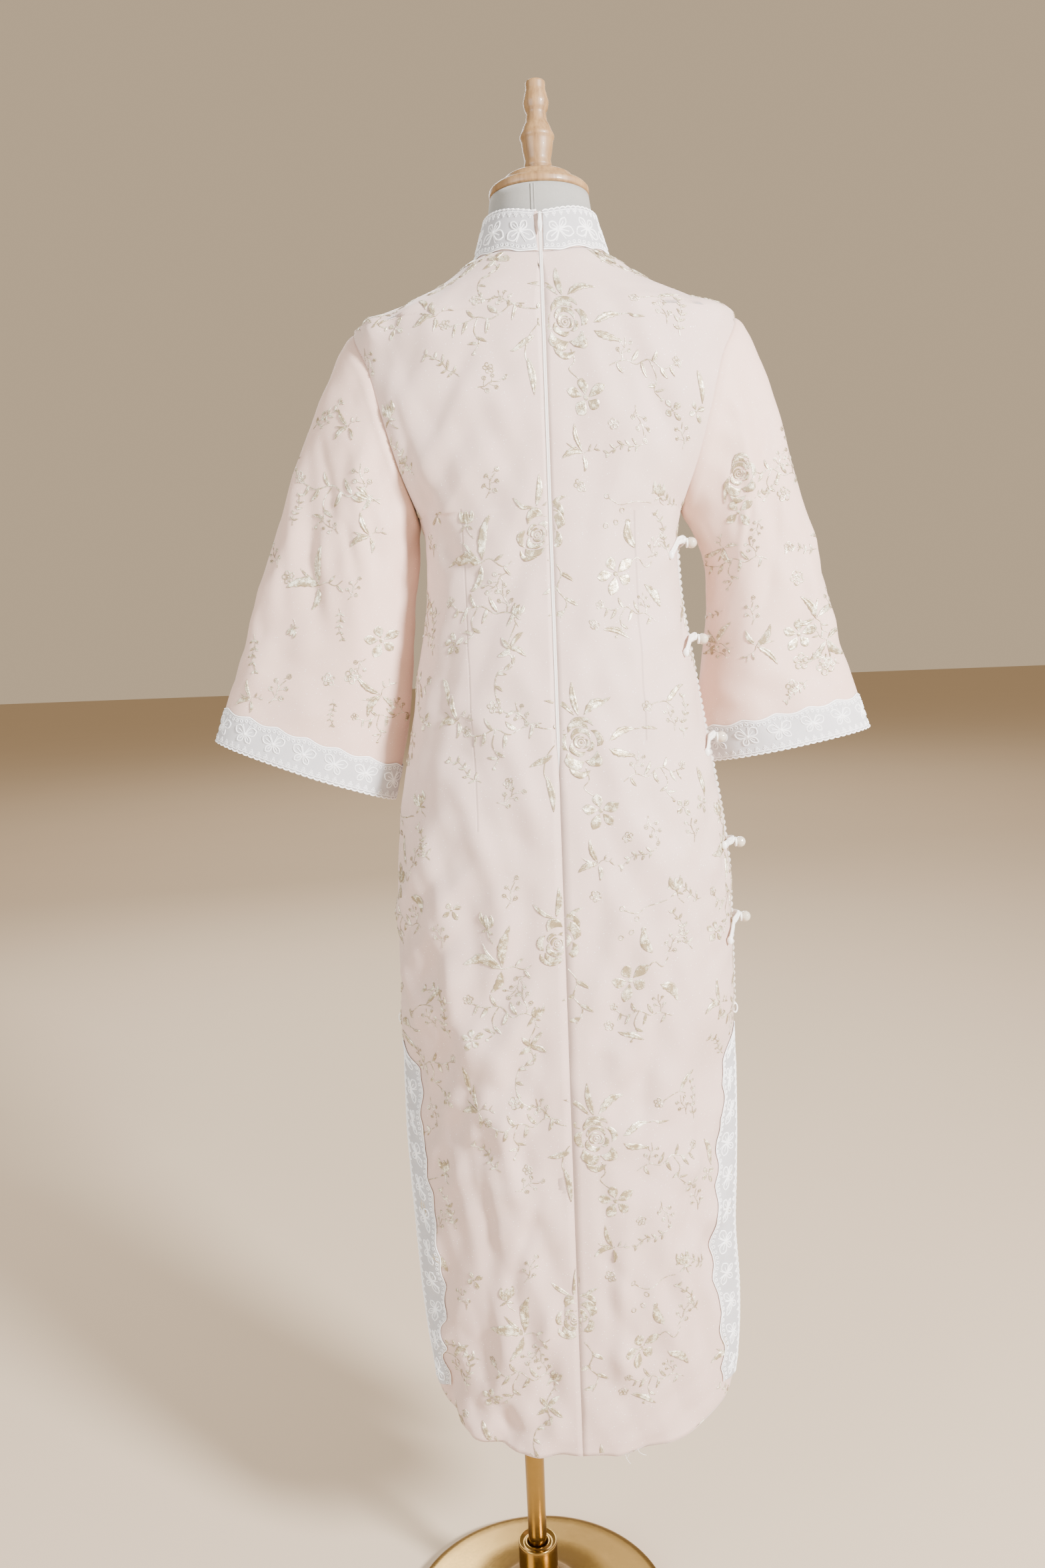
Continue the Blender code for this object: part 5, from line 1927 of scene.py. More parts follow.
@dataclass
class DressPanels:
    """The two back panels and the front, with their darts, seams, creases and woven flowers."""

    finishes: Finishes
    repeat: FlowerRepeat = field(default_factory=FlowerRepeat)
    hang: SlitHang = field(default_factory=SlitHang)
    half_columns: int = 54
    front_columns: int = 40
    dart_left: Line = (-0.088, 1.256, -0.083, 0.934)
    dart_right: Line = (0.082, 1.240, 0.086, 1.016)
    front_darts: tuple[Line, ...] = ((-0.090, 1.185, -0.084, 0.950), (0.090, 1.185, 0.084, 0.950))
    hem_darkening: float = 0.20
    worn_left: float = 1.4
    worn_right: float = 1.05
    zip_pull_in: float = 0.012
    crease_share: float = 1.7
    calm_share: float = 0.16
    hem_wave: float = 1.1 * MM
    hem_pitch: float = 0.061
    hem_fade: float = 0.030
    hem_fold: float = 0.016
    fold_width: float = 0.004
    fold_height: float = 0.35 * MM
    seam_sunk: float = 0.16 * MM
    seam_width: float = 2.0 * MM
    first_rose: Spot = (19.0, 1414.0)
    front_rose: Spot = (-34.0, 1330.0)
    design_up: Spot = (250.0, 1560.0)
    back_creases: tuple[Crease, ...] = in_mm(
        Crease, (-60, 1420, -140, 1300, 10, -1.6, 6), (-150, 1380, -118, 1230, 8, -2.2, -4),
        (70, 1415, 150, 1290, 11, -1.6, -6), (158, 1370, 128, 1240, 8, -2, 4),
        (-122, 1220, -50, 1150, 9, -1.6, 4), (124, 1215, 60, 1140, 9, -1.4, -4),
        (-128, 1060, -70, 1005, 8, -1.3, 3), (30, 935, 34, 820, 7, -1.3, 2),
        (-20, 770, -62, 560, 10, -2.4, 8), (-70, 700, -52, 520, 8, 2, -5), (-98, 610, -92, 420, 9, -2.6, 4),
        (-30, 560, -75, 400, 7, -2.2, -6), (-20, 440, -66, 330, 8, 1.8, 4), (22, 640, 30, 330, 9, -2.4, 6),
        (58, 560, 44, 300, 9, 2, -4), (95, 760, 70, 560, 10, -2.2, -6), (120, 560, 80, 400, 8, -2.4, 5),
        (108, 470, 128, 330, 8, 1.8, 3), (150, 700, 142, 500, 8, -2.2, 3),
        (-150, 840, -128, 660, 10, -2.2, 5), (140, 900, 158, 760, 9, -2, 4), (10, 500, 70, 430, 7, -1.2, 3),
    )  # fmt: skip
    front_creases: tuple[Crease, ...] = in_mm(
        Crease, (-70, 1400, -140, 1290, 10, -1.6, 6), (70, 1400, 140, 1290, 10, -1.6, -6),
        (-124, 1210, -60, 1140, 9, -1.6, 4), (124, 1205, 66, 1130, 9, -1.6, -4),
        (-120, 1040, -60, 990, 9, -1.4, 3), (30, 900, -20, 760, 10, -2, 6),
        (-60, 740, -80, 520, 9, -2.4, 6), (-15, 640, -10, 380, 10, 2.2, 8),
        (50, 700, 75, 450, 9, -2.6, -6), (105, 620, 95, 380, 9, 2, 4), (-110, 560, -95, 350, 8, -2.2, 4),
        (20, 470, 60, 330, 8, -2, 5),
    )  # fmt: skip

    def columns(self, face: Face, side: Side, count: int) -> list[list[Point]]:
        """Give half a panel's columns, from its middle to its side."""
        return [CUT.column(k / count, face, side, ROWS) for k in range(count + 1)]

    def half_back(self, side: Side) -> Surface:
        """Work out one back panel's surface, its columns from left to right seen from behind.

        Args:
            side: Left or right.

        Returns:
            The surface.
        """
        columns = self.columns(Face.BACK, side, self.half_columns)
        if side is Side.LEFT:
            columns.reverse()
        grid = np.array(columns).transpose(1, 0, 2)
        zero = 0 if side is Side.RIGHT else self.half_columns
        edge = grid[:, zero, 0].copy()
        shown = side.value * np.array([zip_half_shown(float(z)) for z in grid[:, zero, 2]])
        near = np.exp(-np.abs(grid[:, :, 0] - edge[:, None]) / self.zip_pull_in)
        grid[:, :, 0] += (shown - edge)[:, None] * near
        self.hang.press(grid, self.half_columns - zero, zero)
        worn = self.worn_left if side is Side.LEFT else self.worn_right
        return self.hung(Surface(grid, zero, grid[0, :, 2]), self.back_creases, 1.3 + side.value * 0.4, worn)

    def whole_front(self) -> Surface:
        """Work out the front's surface, its columns from -X to +X."""
        count = self.front_columns
        left, right = (self.columns(Face.FRONT, side, count) for side in (Side.LEFT, Side.RIGHT))
        grid = np.array(left[::-1] + right[1:]).transpose(1, 0, 2)
        self.hang.press(grid[:, : count + 1], 0, count)
        self.hang.press(grid[:, count:], count, 0)
        return self.hung(Surface(grid, count, grid[0, :, 2]), self.front_creases, 3.1, 1.0)

    def hung(self, surface: Surface, creases: Sequence[Crease], seed: float, strength: float) -> Surface:
        """Add a panel's creases, its unevenness, its rippled hem and its sunk seams.

        Args:
            surface: The panel's surface, which is changed.
            creases: Its creases.
            seed: What sets its unevenness apart from another panel's.
            strength: How strong that is.

        Returns:
            The surface.
        """
        across, up = surface.places()
        level, above = surface.grid[:, :, 2], up - surface.base[None, :]
        first, last = surface.across[:, :1], surface.across[:, -1:]
        from_edge = np.minimum(across - first, last - across)
        calm = np.clip(from_edge / ((last - first) * self.calm_share), 0.0, 1.0)
        worn = strength * (0.85 + 0.65 * part_of(-level, -0.98, 0.25))
        out = self.crease_share * surface.crease(creases) + ripple(across, up, seed, worn)
        out *= calm * part_of(-level, -1.47, 0.05)
        wave = np.sin(across * 2 * np.pi / self.hem_pitch + seed)
        out += self.hem_wave * wave * np.exp(-above / self.hem_fade) * calm
        out += self.fold_height * bell(above, self.hem_fold, self.fold_width)
        out -= self.seam_sunk * bell(from_edge, 0.0, self.seam_width) * (level > CUT.slit_z)
        surface.move(out)
        return surface

    def build(self) -> dict[str, Surface]:
        """Build the panels and their flowers, and give the surfaces by name."""
        made = {
            "back_left": self.half_back(Side.LEFT),
            "back_right": self.half_back(Side.RIGHT),
            "front": self.whole_front(),
        }
        darts_of = ((self.dart_left,), (self.dart_right,), self.front_darts)
        for (node, surface), darts in zip(made.items(), darts_of):
            material = BrocadeFinish(hem_darkening=self.hem_darkening, seams=darts).make(f"brocade {node}")
            piece = cloth_object(f"{node}_panel", surface, material)
            hand_over(piece, (node,))
            flowers = self.flowers(node, surface)
            hand_over(flowers)
            declare_cloth(piece, surface, [flowers])
        self.seams(*made.values())
        return made

    def seams(self, left: Surface, right: Surface, front: Surface) -> None:
        """Back the centre seam, the side seams and the shoulder seams.

        Args:
            left: The left back panel.
            right: The right back panel.
            front: The front.
        """
        material = BrocadeFinish().make("brocade allowances")
        seam_backing("centre_allowance", left, right, slice(0, None), material)
        low = int(np.searchsorted(left.grid[: ROWS.skirt, 0, 2], CUT.slit_z)) + 1
        side, shoulder = slice(low, ROWS.skirt + 1), slice(ROWS.skirt + ROWS.bodice, None)
        for part, rows in (("side", side), ("shoulder", shoulder)):
            seam_backing(f"{part}_allowance_left", mirrored(front), left, rows, material)
            seam_backing(f"{part}_allowance_right", right, mirrored(front), rows, material)

    def flowers(self, node: str, surface: Surface) -> Thing:
        """Lay the woven flowers on a panel.

        Args:
            node: The panel's name.
            surface: Its surface.

        Returns:
            The flowers.
        """
        across = (float(surface.across.min() / MM), float(surface.across.max() / MM))
        flip = node == "front"
        first = self.front_rose if flip else self.first_rose
        drawing = self.repeat.over(across, self.design_up, *first, flip)
        thread, lift = self.finishes.thread, self.repeat.lift
        return drawing.laid(f"{node}_flowers", surface, thread, lift, -0.1, lean_with_seam)


@dataclass(frozen=True)
class Motif:
    """One motif on a sleeve, at a place seen from straight behind, in millimetres."""

    shape: Callable[[], Drawing]
    x: float
    z: float
    angle: float = 0.0
    size: float = 1.0


def four_petals() -> Drawing:
    """A flower with four petals."""
    return open_flower(4, 15.0)


def wide_flower() -> Drawing:
    """A wide flower with five petals."""
    return open_flower(5, 18.0)


LEFT_SLEEVE_MOTIFS = (
    (sprig, -236, 1334, -70), (berries, -214, 1352, 160, 0.8), (leaf_spray, -196, 1330, 40, 0.5),
    (branch, -168, 1254, -12, 1.25), (bud, -186, 1262, 60), (leaf_spray, -180, 1222, 30, 0.6),
    (berries, -212, 1226, 60, 0.9), (leaf_spray, -236, 1176, 5, 0.95), (small_flower, -269, 1186, 10, 1.4),
    (berries, -281, 1196, 30), (berries, -206, 1160, -20, 0.9), (open_flower, -176, 1118, 10),
    (sprig, -216, 1152, 170, 0.8), (berries, -192, 1100, 150), (sprig, -312, 1130, 168),
    (bud, -268, 1130, 150, 0.7), (small_flower, -232, 1080, 0, 1.4), (small_flower, -208, 1082, 40, 1.5),
    (leaf_spray, -180, 1062, 60, 0.7), (sprig, -228, 1060, 160, 0.7), (berries, -298, 1058, -30, 1.3),
    (leaf_spray, -318, 1062, 20, 0.5), (leaf_spray, -262, 1300, 60, 0.45), (branch, -150, 1040, 8, 0.8),
    (sprig, -262, 1238, -30, 0.8),
)  # fmt: skip
RIGHT_SLEEVE_MOTIFS = (
    (rose, 190, 1270, 0, 0.85), (berries, 240, 1326, -150), (branch, 262, 1268, 0, 0.9),
    (berries, 228, 1274, -20, 0.9), (bud, 268, 1262, 170, 0.7), (sprig, 206, 1246, -70, 0.7),
    (small_flower, 238, 1250, 10, 1.5), (four_petals, 190, 1233, 20), (berries, 214, 1226, 160, 0.8),
    (leaf_spray, 286, 1208, 0, 0.45), (sprig, 276, 1196, 80, 0.9), (small_flower, 252, 1166, 30, 1.6),
    (small_flower, 243, 1198), (branch, 220, 1186, 8, 0.85), (leaf_spray, 176, 1200, 120, 0.5),
    (wide_flower, 254, 1108), (leaf_spray, 272, 1124, -50, 0.75), (leaf_spray, 284, 1102, 150, 0.75),
    (berries, 284, 1134, -20, 1.1), (small_flower, 256, 1080, 0, 1.8), (small_flower, 283, 1074, 30, 2.0),
    (leaf_spray, 208, 1098, -120, 0.7), (leaf_spray, 170, 1102, -20, 0.6), (berries, 204, 1120, 10),
    (berries, 180, 1086, 60, 0.8), (small_flower, 246, 1054, 10, 1.5), (sprig, 300, 1076, 60, 0.8),
    (sprig, 176, 1136, 100, 0.6), (sprig, 262, 1060, 120, 0.8),
)  # fmt: skip


@dataclass
class FlaredSleeve:
    """One flared sleeve: its cuff's two ends seen from behind, and how it leaves the armhole."""

    finishes: Finishes
    name: str
    side: Side
    outer: Spot
    inner: Spot
    half_depth: float
    middle_y: float
    leave: Spot
    motifs: tuple[tuple, ...]
    columns: int = 54
    steps: int = 104
    tuck: tuple[float, ...] = (-0.008, -0.020)
    seam_out: float = 0.6 * MM
    leave_top: float = 0.100
    leave_bulge: float = 0.05
    # How the cloth leaves in Z and arrives in X and Z: at the bottom, and how much more at the top
    ways: tuple[Spot, ...] = ((-0.250, 0.180), (0.085, 0.060), (-0.270, -0.130))
    # Painted light: the sleeves' brocade is a lighter, pinker copy of the panels' cloth, for how the light
    # falls on the sleeves
    pale: Colour = (0.785, 0.560, 0.472)
    deep: Colour = (0.625, 0.428, 0.346)
    seam_sunk: float = 0.5 * MM
    seam_width: float = 2.4 * MM
    rim_height: float = 0.7 * MM
    rim_place: float = 0.009
    rim_width: float = 0.005
    tucked_in: float = 1.7 * MM
    column_step: float = 0.02 * MM
    # Each fold's turn from the outside in degrees, its width and its depth
    folds: tuple[tuple[float, float, float], ...] = (
        (62.0, 17.0, -0.0045), (112.0, 16.0, 0.0040), (-58.0, 18.0, 0.0040), (-108.0, 17.0, -0.0040),
    )  # fmt: skip
    creases: tuple[Crease, ...] = in_mm(
        Crease, (50, 330, 110, 240, 9, -2, 4), (70, 250, 120, 130, 10, -2.4, -4),
        (30, 220, 50, 90, 10, 1.8, 4), (120, 260, 150, 200, 8, -1.8, 3),
        (250, 300, 220, 160, 10, -2.2, 5), (310, 240, 290, 90, 10, 1.8, 4),
    )  # fmt: skip

    def point(self, turn: float, face: Face, s: float) -> Point:
        """Give a point of the sleeve.

        Args:
            turn: The turn round the armhole, 0 at the armpit.
            face: Back or front.
            s: 0 at the armhole and 1 at the cuff's edge.

        Returns:
            The point.
        """
        x, y, z = CUT.armhole_edge(turn, face)
        start = np.array((x + self.seam_out, y, z))
        reach = -math.cos(turn)
        outwards = math.copysign(1.0, math.copysign(math.sin(turn), face.value))
        middle_x, middle_z = ((a + b) / 2 for a, b in zip(self.outer, self.inner))
        end_x = middle_x + reach * (self.outer[0] - middle_x)
        end_z = middle_z + reach * (self.outer[1] - middle_z)
        across = math.copysign(math.sin(turn), face.value) * self.half_depth
        end = np.array((end_x, self.middle_y + across, end_z))
        top = (1 + reach) / 2
        leave_x = self.leave[0] + (self.leave_top - self.leave[0]) * top + self.leave_bulge * math.sin(turn)
        leave_z, arrive_x, arrive_z = (low + more * top for low, more in self.ways)
        leave = np.array((leave_x, self.leave[1] * (1 - top), leave_z))
        arrive = np.array((arrive_x, 0.0, arrive_z))
        x, y, z = cubic(s, start, leave, end, arrive)
        spot = (180 - math.degrees(turn)) * (1 if face is Face.BACK else -1)
        fade = smooth(s, 0.15, 0.5) * (1 - 0.6 * smooth(s, 0.75, 1.0))
        for centre, width, depth in self.folds:
            y += outwards * depth * fade * math.exp(-(((spot - centre) / width) ** 2))
        return self.side.value * x, y, z

    def build(self) -> None:
        """Build the sleeve, its flowers and its lace band."""
        halves = [math.pi * k / self.columns for k in range(self.columns + 1)]
        rounds = [(turn, Face.BACK) for turn in reversed(halves)]
        rounds += [(turn, Face.FRONT) for turn in halves[1:-1]]
        ways = (*(1.0 - k / self.steps for k in range(self.steps + 1)), *self.tuck)
        grid = np.array([[self.point(turn, face, s) for turn, face in rounds] for s in ways])
        surface = Surface(grid, closed=True)
        across, up = surface.places()
        below = surface.up[self.steps, :-1][None, :] - up
        out = 1.3 * surface.crease(self.creases) + ripple(across, up, 5.0 + self.side.value, 0.85)
        out *= part_of(below, 0.0, 0.030) * np.clip(up / 0.05, 0.35, 1.0)
        out -= self.seam_sunk * bell(below, 0.0, self.seam_width)
        out += self.rim_height * bell(below, self.rim_place, self.rim_width)
        out[self.steps + 1 :] = -self.tucked_in
        surface.move(out)
        # The sleeve takes its own lighter copy of the brocade, with the light painted in
        material = BrocadeFinish(pale=self.pale, deep=self.deep).make(f"brocade {self.name} sleeve")
        piece = cloth_object(f"sleeve_{self.name}_cloth", surface, material)
        hand_over(piece, (f"sleeve_{self.name}",))
        declare_cloth(piece, surface, [self.flowers(surface, face) for face in Face])
        band = LaceBand(self.finishes, f"cuff_lace_{self.name}", surface, float(surface.across[0, -1]), True)
        band.build(lambda places: places, f"cuff_lace_{self.name}", f"sleeve_{self.name}_cloth")

    def flowers(self, surface: Surface, face: Face) -> Thing:
        """Lay the flowers on one face of the sleeve, placed as seen on it from straight behind.

        Args:
            surface: The whole sleeve.
            face: Its back or its front.

        Returns:
            The flowers.
        """
        count = self.columns
        columns = list(range(count + 1)) if face is Face.BACK else [*range(count, 2 * count), 0]
        if surface.grid[0, columns[0], 0] > surface.grid[0, columns[-1], 0]:
            columns.reverse()
        half = Surface(surface.grid[: self.steps + 1, columns])
        half.normal = surface.normal[: self.steps + 1, columns]
        half.rounds = 14
        run = surface.grid[self.steps, 0] - surface.grid[0].mean(axis=0)
        upwards = np.array((run[0], 0.0, run[2]))
        upwards /= np.linalg.norm(upwards)
        sideways = np.array((upwards[2], 0.0, -upwards[0]))
        rows, wide = half.grid.shape[:2]
        half.across = np.maximum.accumulate(half.grid @ sideways, axis=1)
        half.across += self.column_step * np.arange(wide)[None, :]
        half.up = np.maximum.accumulate(half.grid @ upwards, axis=0)
        half.up += self.column_step * np.arange(rows)[:, None]
        lean = math.degrees(math.atan2(upwards[0], upwards[2]))
        made = Drawing()
        for row in self.motifs:
            motif = Motif(*row)
            spot = np.array((motif.x, 0.0, motif.z))
            made.add(motif.shape(), spot @ sideways, spot @ upwards, motif.angle + lean, motif.size)
        name = f"sleeve_{self.name}_{face.name.lower()}_flowers"
        piece = made.laid(name, half, self.finishes.thread, FlowerRepeat.lift)
        hand_over(piece)
        return piece


@dataclass
class LaceBand:
    """A band of white net with embroidered bows, a waved inner edge and a small scalloped outer edge.

    A place on it is (along, out), from its scalloped edge.
    """

    finishes: Finishes
    name: str
    surface: Surface
    length: float
    closed: bool = False
    width: float = 33.0 * MM
    net_thickness: float = 0.25 * MM
    past: float = 2.4 * MM
    pitch: float = 34.0 * MM
    wave: float = 3.4 * MM
    scallops: int = 5
    lift: float = 1.0 * MM
    sewn_lift: float = 0.1 * MM
    net_rows: int = 8
    bow_size: float = 1.0
    bow_cord: Spot = (1.35, 0.8)
    tilts: tuple[float, ...] = (-6, 5, 9, -3)
    mirror: bool = False

    def __post_init__(self) -> None:
        """Fit whole waves into the length."""
        self.waves = max(1, round(self.length / self.pitch))
        self.pitch = self.length / self.waves

    def inner_edge(self, along: float) -> float:
        """Give how far in the waved edge is at a place along the band."""
        return self.width + self.wave * (0.5 - abs(math.cos(math.pi * along / self.pitch)) ** 1.4)

    def outer_edge(self, along: float) -> float:
        """Give how far out the scalloped edge is at a place along the band."""
        return -self.past - 1.5 * MM * abs(math.sin(math.pi * along / self.pitch * self.scallops)) ** 0.7

    def net(self, lay: Callable[[Array], Array]) -> tuple[Thing, Surface]:
        """Build the net as a thin sheet just off the cloth.

        Args:
            lay: Turns places on the band into across and up on its cloth.

        Returns:
            The net and its surface.
        """
        count = max(24, round(self.length / self.pitch * self.scallops**2))
        places = []
        for r in range(self.net_rows + 1):
            for k in range(count if self.closed else count + 1):
                along = self.length * k / count
                low, high = self.outer_edge(along), self.inner_edge(along)
                places.append((along, low + (high - low) * r / self.net_rows))
        laid = self.surface.lay(lay(np.array(places)), np.full(len(places), self.lift), 9.0)[0]
        sheet = Surface(laid.reshape(self.net_rows + 1, -1, 3), closed=self.closed)
        finish = self.finishes.cuff_net if self.closed else self.finishes.net
        return cloth_object(f"{self.name}_net", sheet, finish, self.net_thickness), sheet

    def bow(self) -> Drawing:
        """Draw one embroidered bow."""
        made = Drawing()
        for x, y, width in ((-12.2, 6.4, 8.6), (12.4, 5.8, 8.6), (-7.8, -8.0, 5.8), (7.4, -8.4, 5.8)):
            made.loop((x, y), width, *self.bow_cord)
        for middle, end in (((-2.0, 5.0), (-4.6, 9.6)), ((2.0, 5.2), (4.2, 9.9))):
            made.stroke([(0, 0.5), middle, end], 0.9, 0.6)
        made.dot(0, 0, 2.1, 1.0)
        return made

    def edge(self, level: Callable[[float], float], steps: int) -> list[Spot]:
        """Give the points along one of the band's edges, in millimetres."""
        alongs = [self.length * k / steps for k in range(steps + 1)]
        return [(along / MM, level(along) / MM) for along in alongs]

    def embroidery(self) -> Drawing:
        """Draw the band's cords, rings, trefoils and bows."""
        made = Drawing()
        inner = self.edge(self.inner_edge, self.waves * 20)
        made.stroke(inner, 1.5, 0.6)
        made.stroke([(x, y - 1.9) for x, y in inner], 0.7, 0.4)
        made.stroke(self.edge(self.outer_edge, self.waves * 30), 1.5, 0.7)
        made.stroke(self.edge(lambda along: 1.6 * MM - self.past, self.waves * 6), 0.9, 0.45)
        bow, past, pitch = self.bow(), self.past / MM, self.pitch / MM
        middle = (self.width / MM + 0.6) / 2
        for k in range(self.waves):
            tilt = self.tilts[k % len(self.tilts)]
            made.add(bow, pitch * (k + 0.5), middle, tilt, self.bow_size, self.mirror)
            for m in range(6):
                x = pitch * (k + (m + 0.5) / 6)
                made.ring(x, self.inner_edge(x * MM) / MM - 4.2, 1.5, 0.9, 0.55, 8)
            for m in range(4):
                x = pitch * (k + (m + 0.5) / 4)
                for dx, dy in ((-1.3, 3.6), (1.3, 3.6), (0.0, 5.8)):
                    made.ring(x + dx, dy - past, 1.0, 0.8, 0.5, 6)
        return made

    def build(self, lay: Callable[[Array], Array], node: str, on: str) -> None:
        """Build the net and its embroidery.

        Args:
            lay: Turns places on the band into across and up on its cloth.
            node: The solid that it stands for.
            on: The piece that it is sewn to.
        """
        net, sheet = self.net(lay)
        lift = self.lift + self.sewn_lift
        yarn = self.finishes.embroidery
        sewn = self.embroidery().laid(f"{self.name}_bows", self.surface, yarn, lift, 9.0, lay)
        hand_over(net, (node,))
        hand_over(sewn)
        declare_cloth(net, sheet, [sewn])


@dataclass
class SlitLaces:
    """The lace bands down the edges of both side slits, and the small loop at the top of each slit."""

    finishes: Finishes
    panels: dict[str, Surface]
    top: float = 0.698
    low: float = 0.312
    narrow: float = 0.030
    narrowest: float = 0.42
    loop_width: float = 2.4 * MM
    loop_height: float = 5.0 * MM
    loop_cord: float = 0.9 * MM

    def band(self, node: str, panel: str, last: bool) -> None:
        """Build the band along one panel's first or last column.

        Args:
            node: The band's name.
            panel: The panel's name.
            last: Whether it is the last column.
        """
        surface = self.panels[panel]
        sign = -1.0 if last else 1.0
        levels = np.linspace(self.low - 0.02, self.top + 0.02, 120)
        edge = surface.edge_across(levels, last)

        def lay(places: Array) -> Array:
            """Measure inwards from the slit's edge, narrowing the band at its top."""
            up = self.low + places[:, 0]
            width = self.narrowest + (1 - self.narrowest) * eased(-up, -self.top, self.narrow)
            return np.stack([np.interp(up, levels, edge) + sign * places[:, 1] * width, up], axis=1)

        band = LaceBand(self.finishes, node, surface, self.top - self.low, width=36.0 * MM, past=1.8 * MM,
                        lift=1.1 * MM, mirror=last)  # fmt: skip
        band.build(lay, node, f"{panel}_panel")

    def build(self) -> None:
        """Build the four bands and the two loops."""
        self.band("slit_lace_back_left", "back_left", False)
        self.band("slit_lace_back_right", "back_right", True)
        self.band("slit_lace_front_left", "front", False)
        self.band("slit_lace_front_right", "front", True)
        parts = []
        for hand in (-1, 1):
            centre = (hand * (HALF(CUT.slit_z) + self.loop_width), -2 * MM, CUT.slit_z + 0.006)
            ring = hoop(centre, (0.0, 0.0, self.loop_height), (hand * self.loop_width, 1.0 * MM, 0.0), 22)
            parts.append(tube_mesh(ring, self.loop_cord, 8, True))
        add_piece("slit_top_loops", parts, self.finishes.satin)


@dataclass
class StandCollar:
    """The stand collar, open at the zip, and the lace that covers it."""

    finishes: Finishes
    columns: int = 150
    rows: int = 14
    thickness: float = 1.4 * MM
    end_gap: float = 1.0 * MM

    def build(self) -> None:
        """Build the collar's cloth and its lace."""
        angles = [turn - math.pi / 2 for turn in (*turns(self.columns), 2 * math.pi)]
        shares = [r / self.rows for r in range(self.rows + 1)]
        grid = np.array([[CUT.collar_point(angle, share) for angle in angles] for share in shares])
        grid[:, 0, 0], grid[:, -1, 0] = ZIP_SHOWN, -ZIP_SHOWN
        surface = Surface(grid)
        piece = cloth_object("collar_cloth", surface, BrocadeFinish().make("brocade collar"), self.thickness)
        hand_over(piece, ("collar",))
        declare_cloth(piece, surface)
        whole, tall = float(surface.across[0, -1]), float(surface.up[-1].mean())

        def lay(places: Array) -> Array:
            """Measure down from the collar's top, so that the small scallops stand along it."""
            up = tall - places[:, 1]
            row_long = np.interp(up, surface.up.mean(axis=1), surface.across[:, -1])
            return np.stack([(places[:, 0] + self.end_gap) / whole * row_long, up], axis=1)

        band = LaceBand(self.finishes, "collar_lace", surface, whole - 2 * self.end_gap,
                        width=tall - 0.4 * MM, past=1.0 * MM, wave=2.4 * MM, lift=0.8 * MM,
                        bow_size=1.2)  # fmt: skip
        band.build(lay, "collar_lace", "collar_cloth")


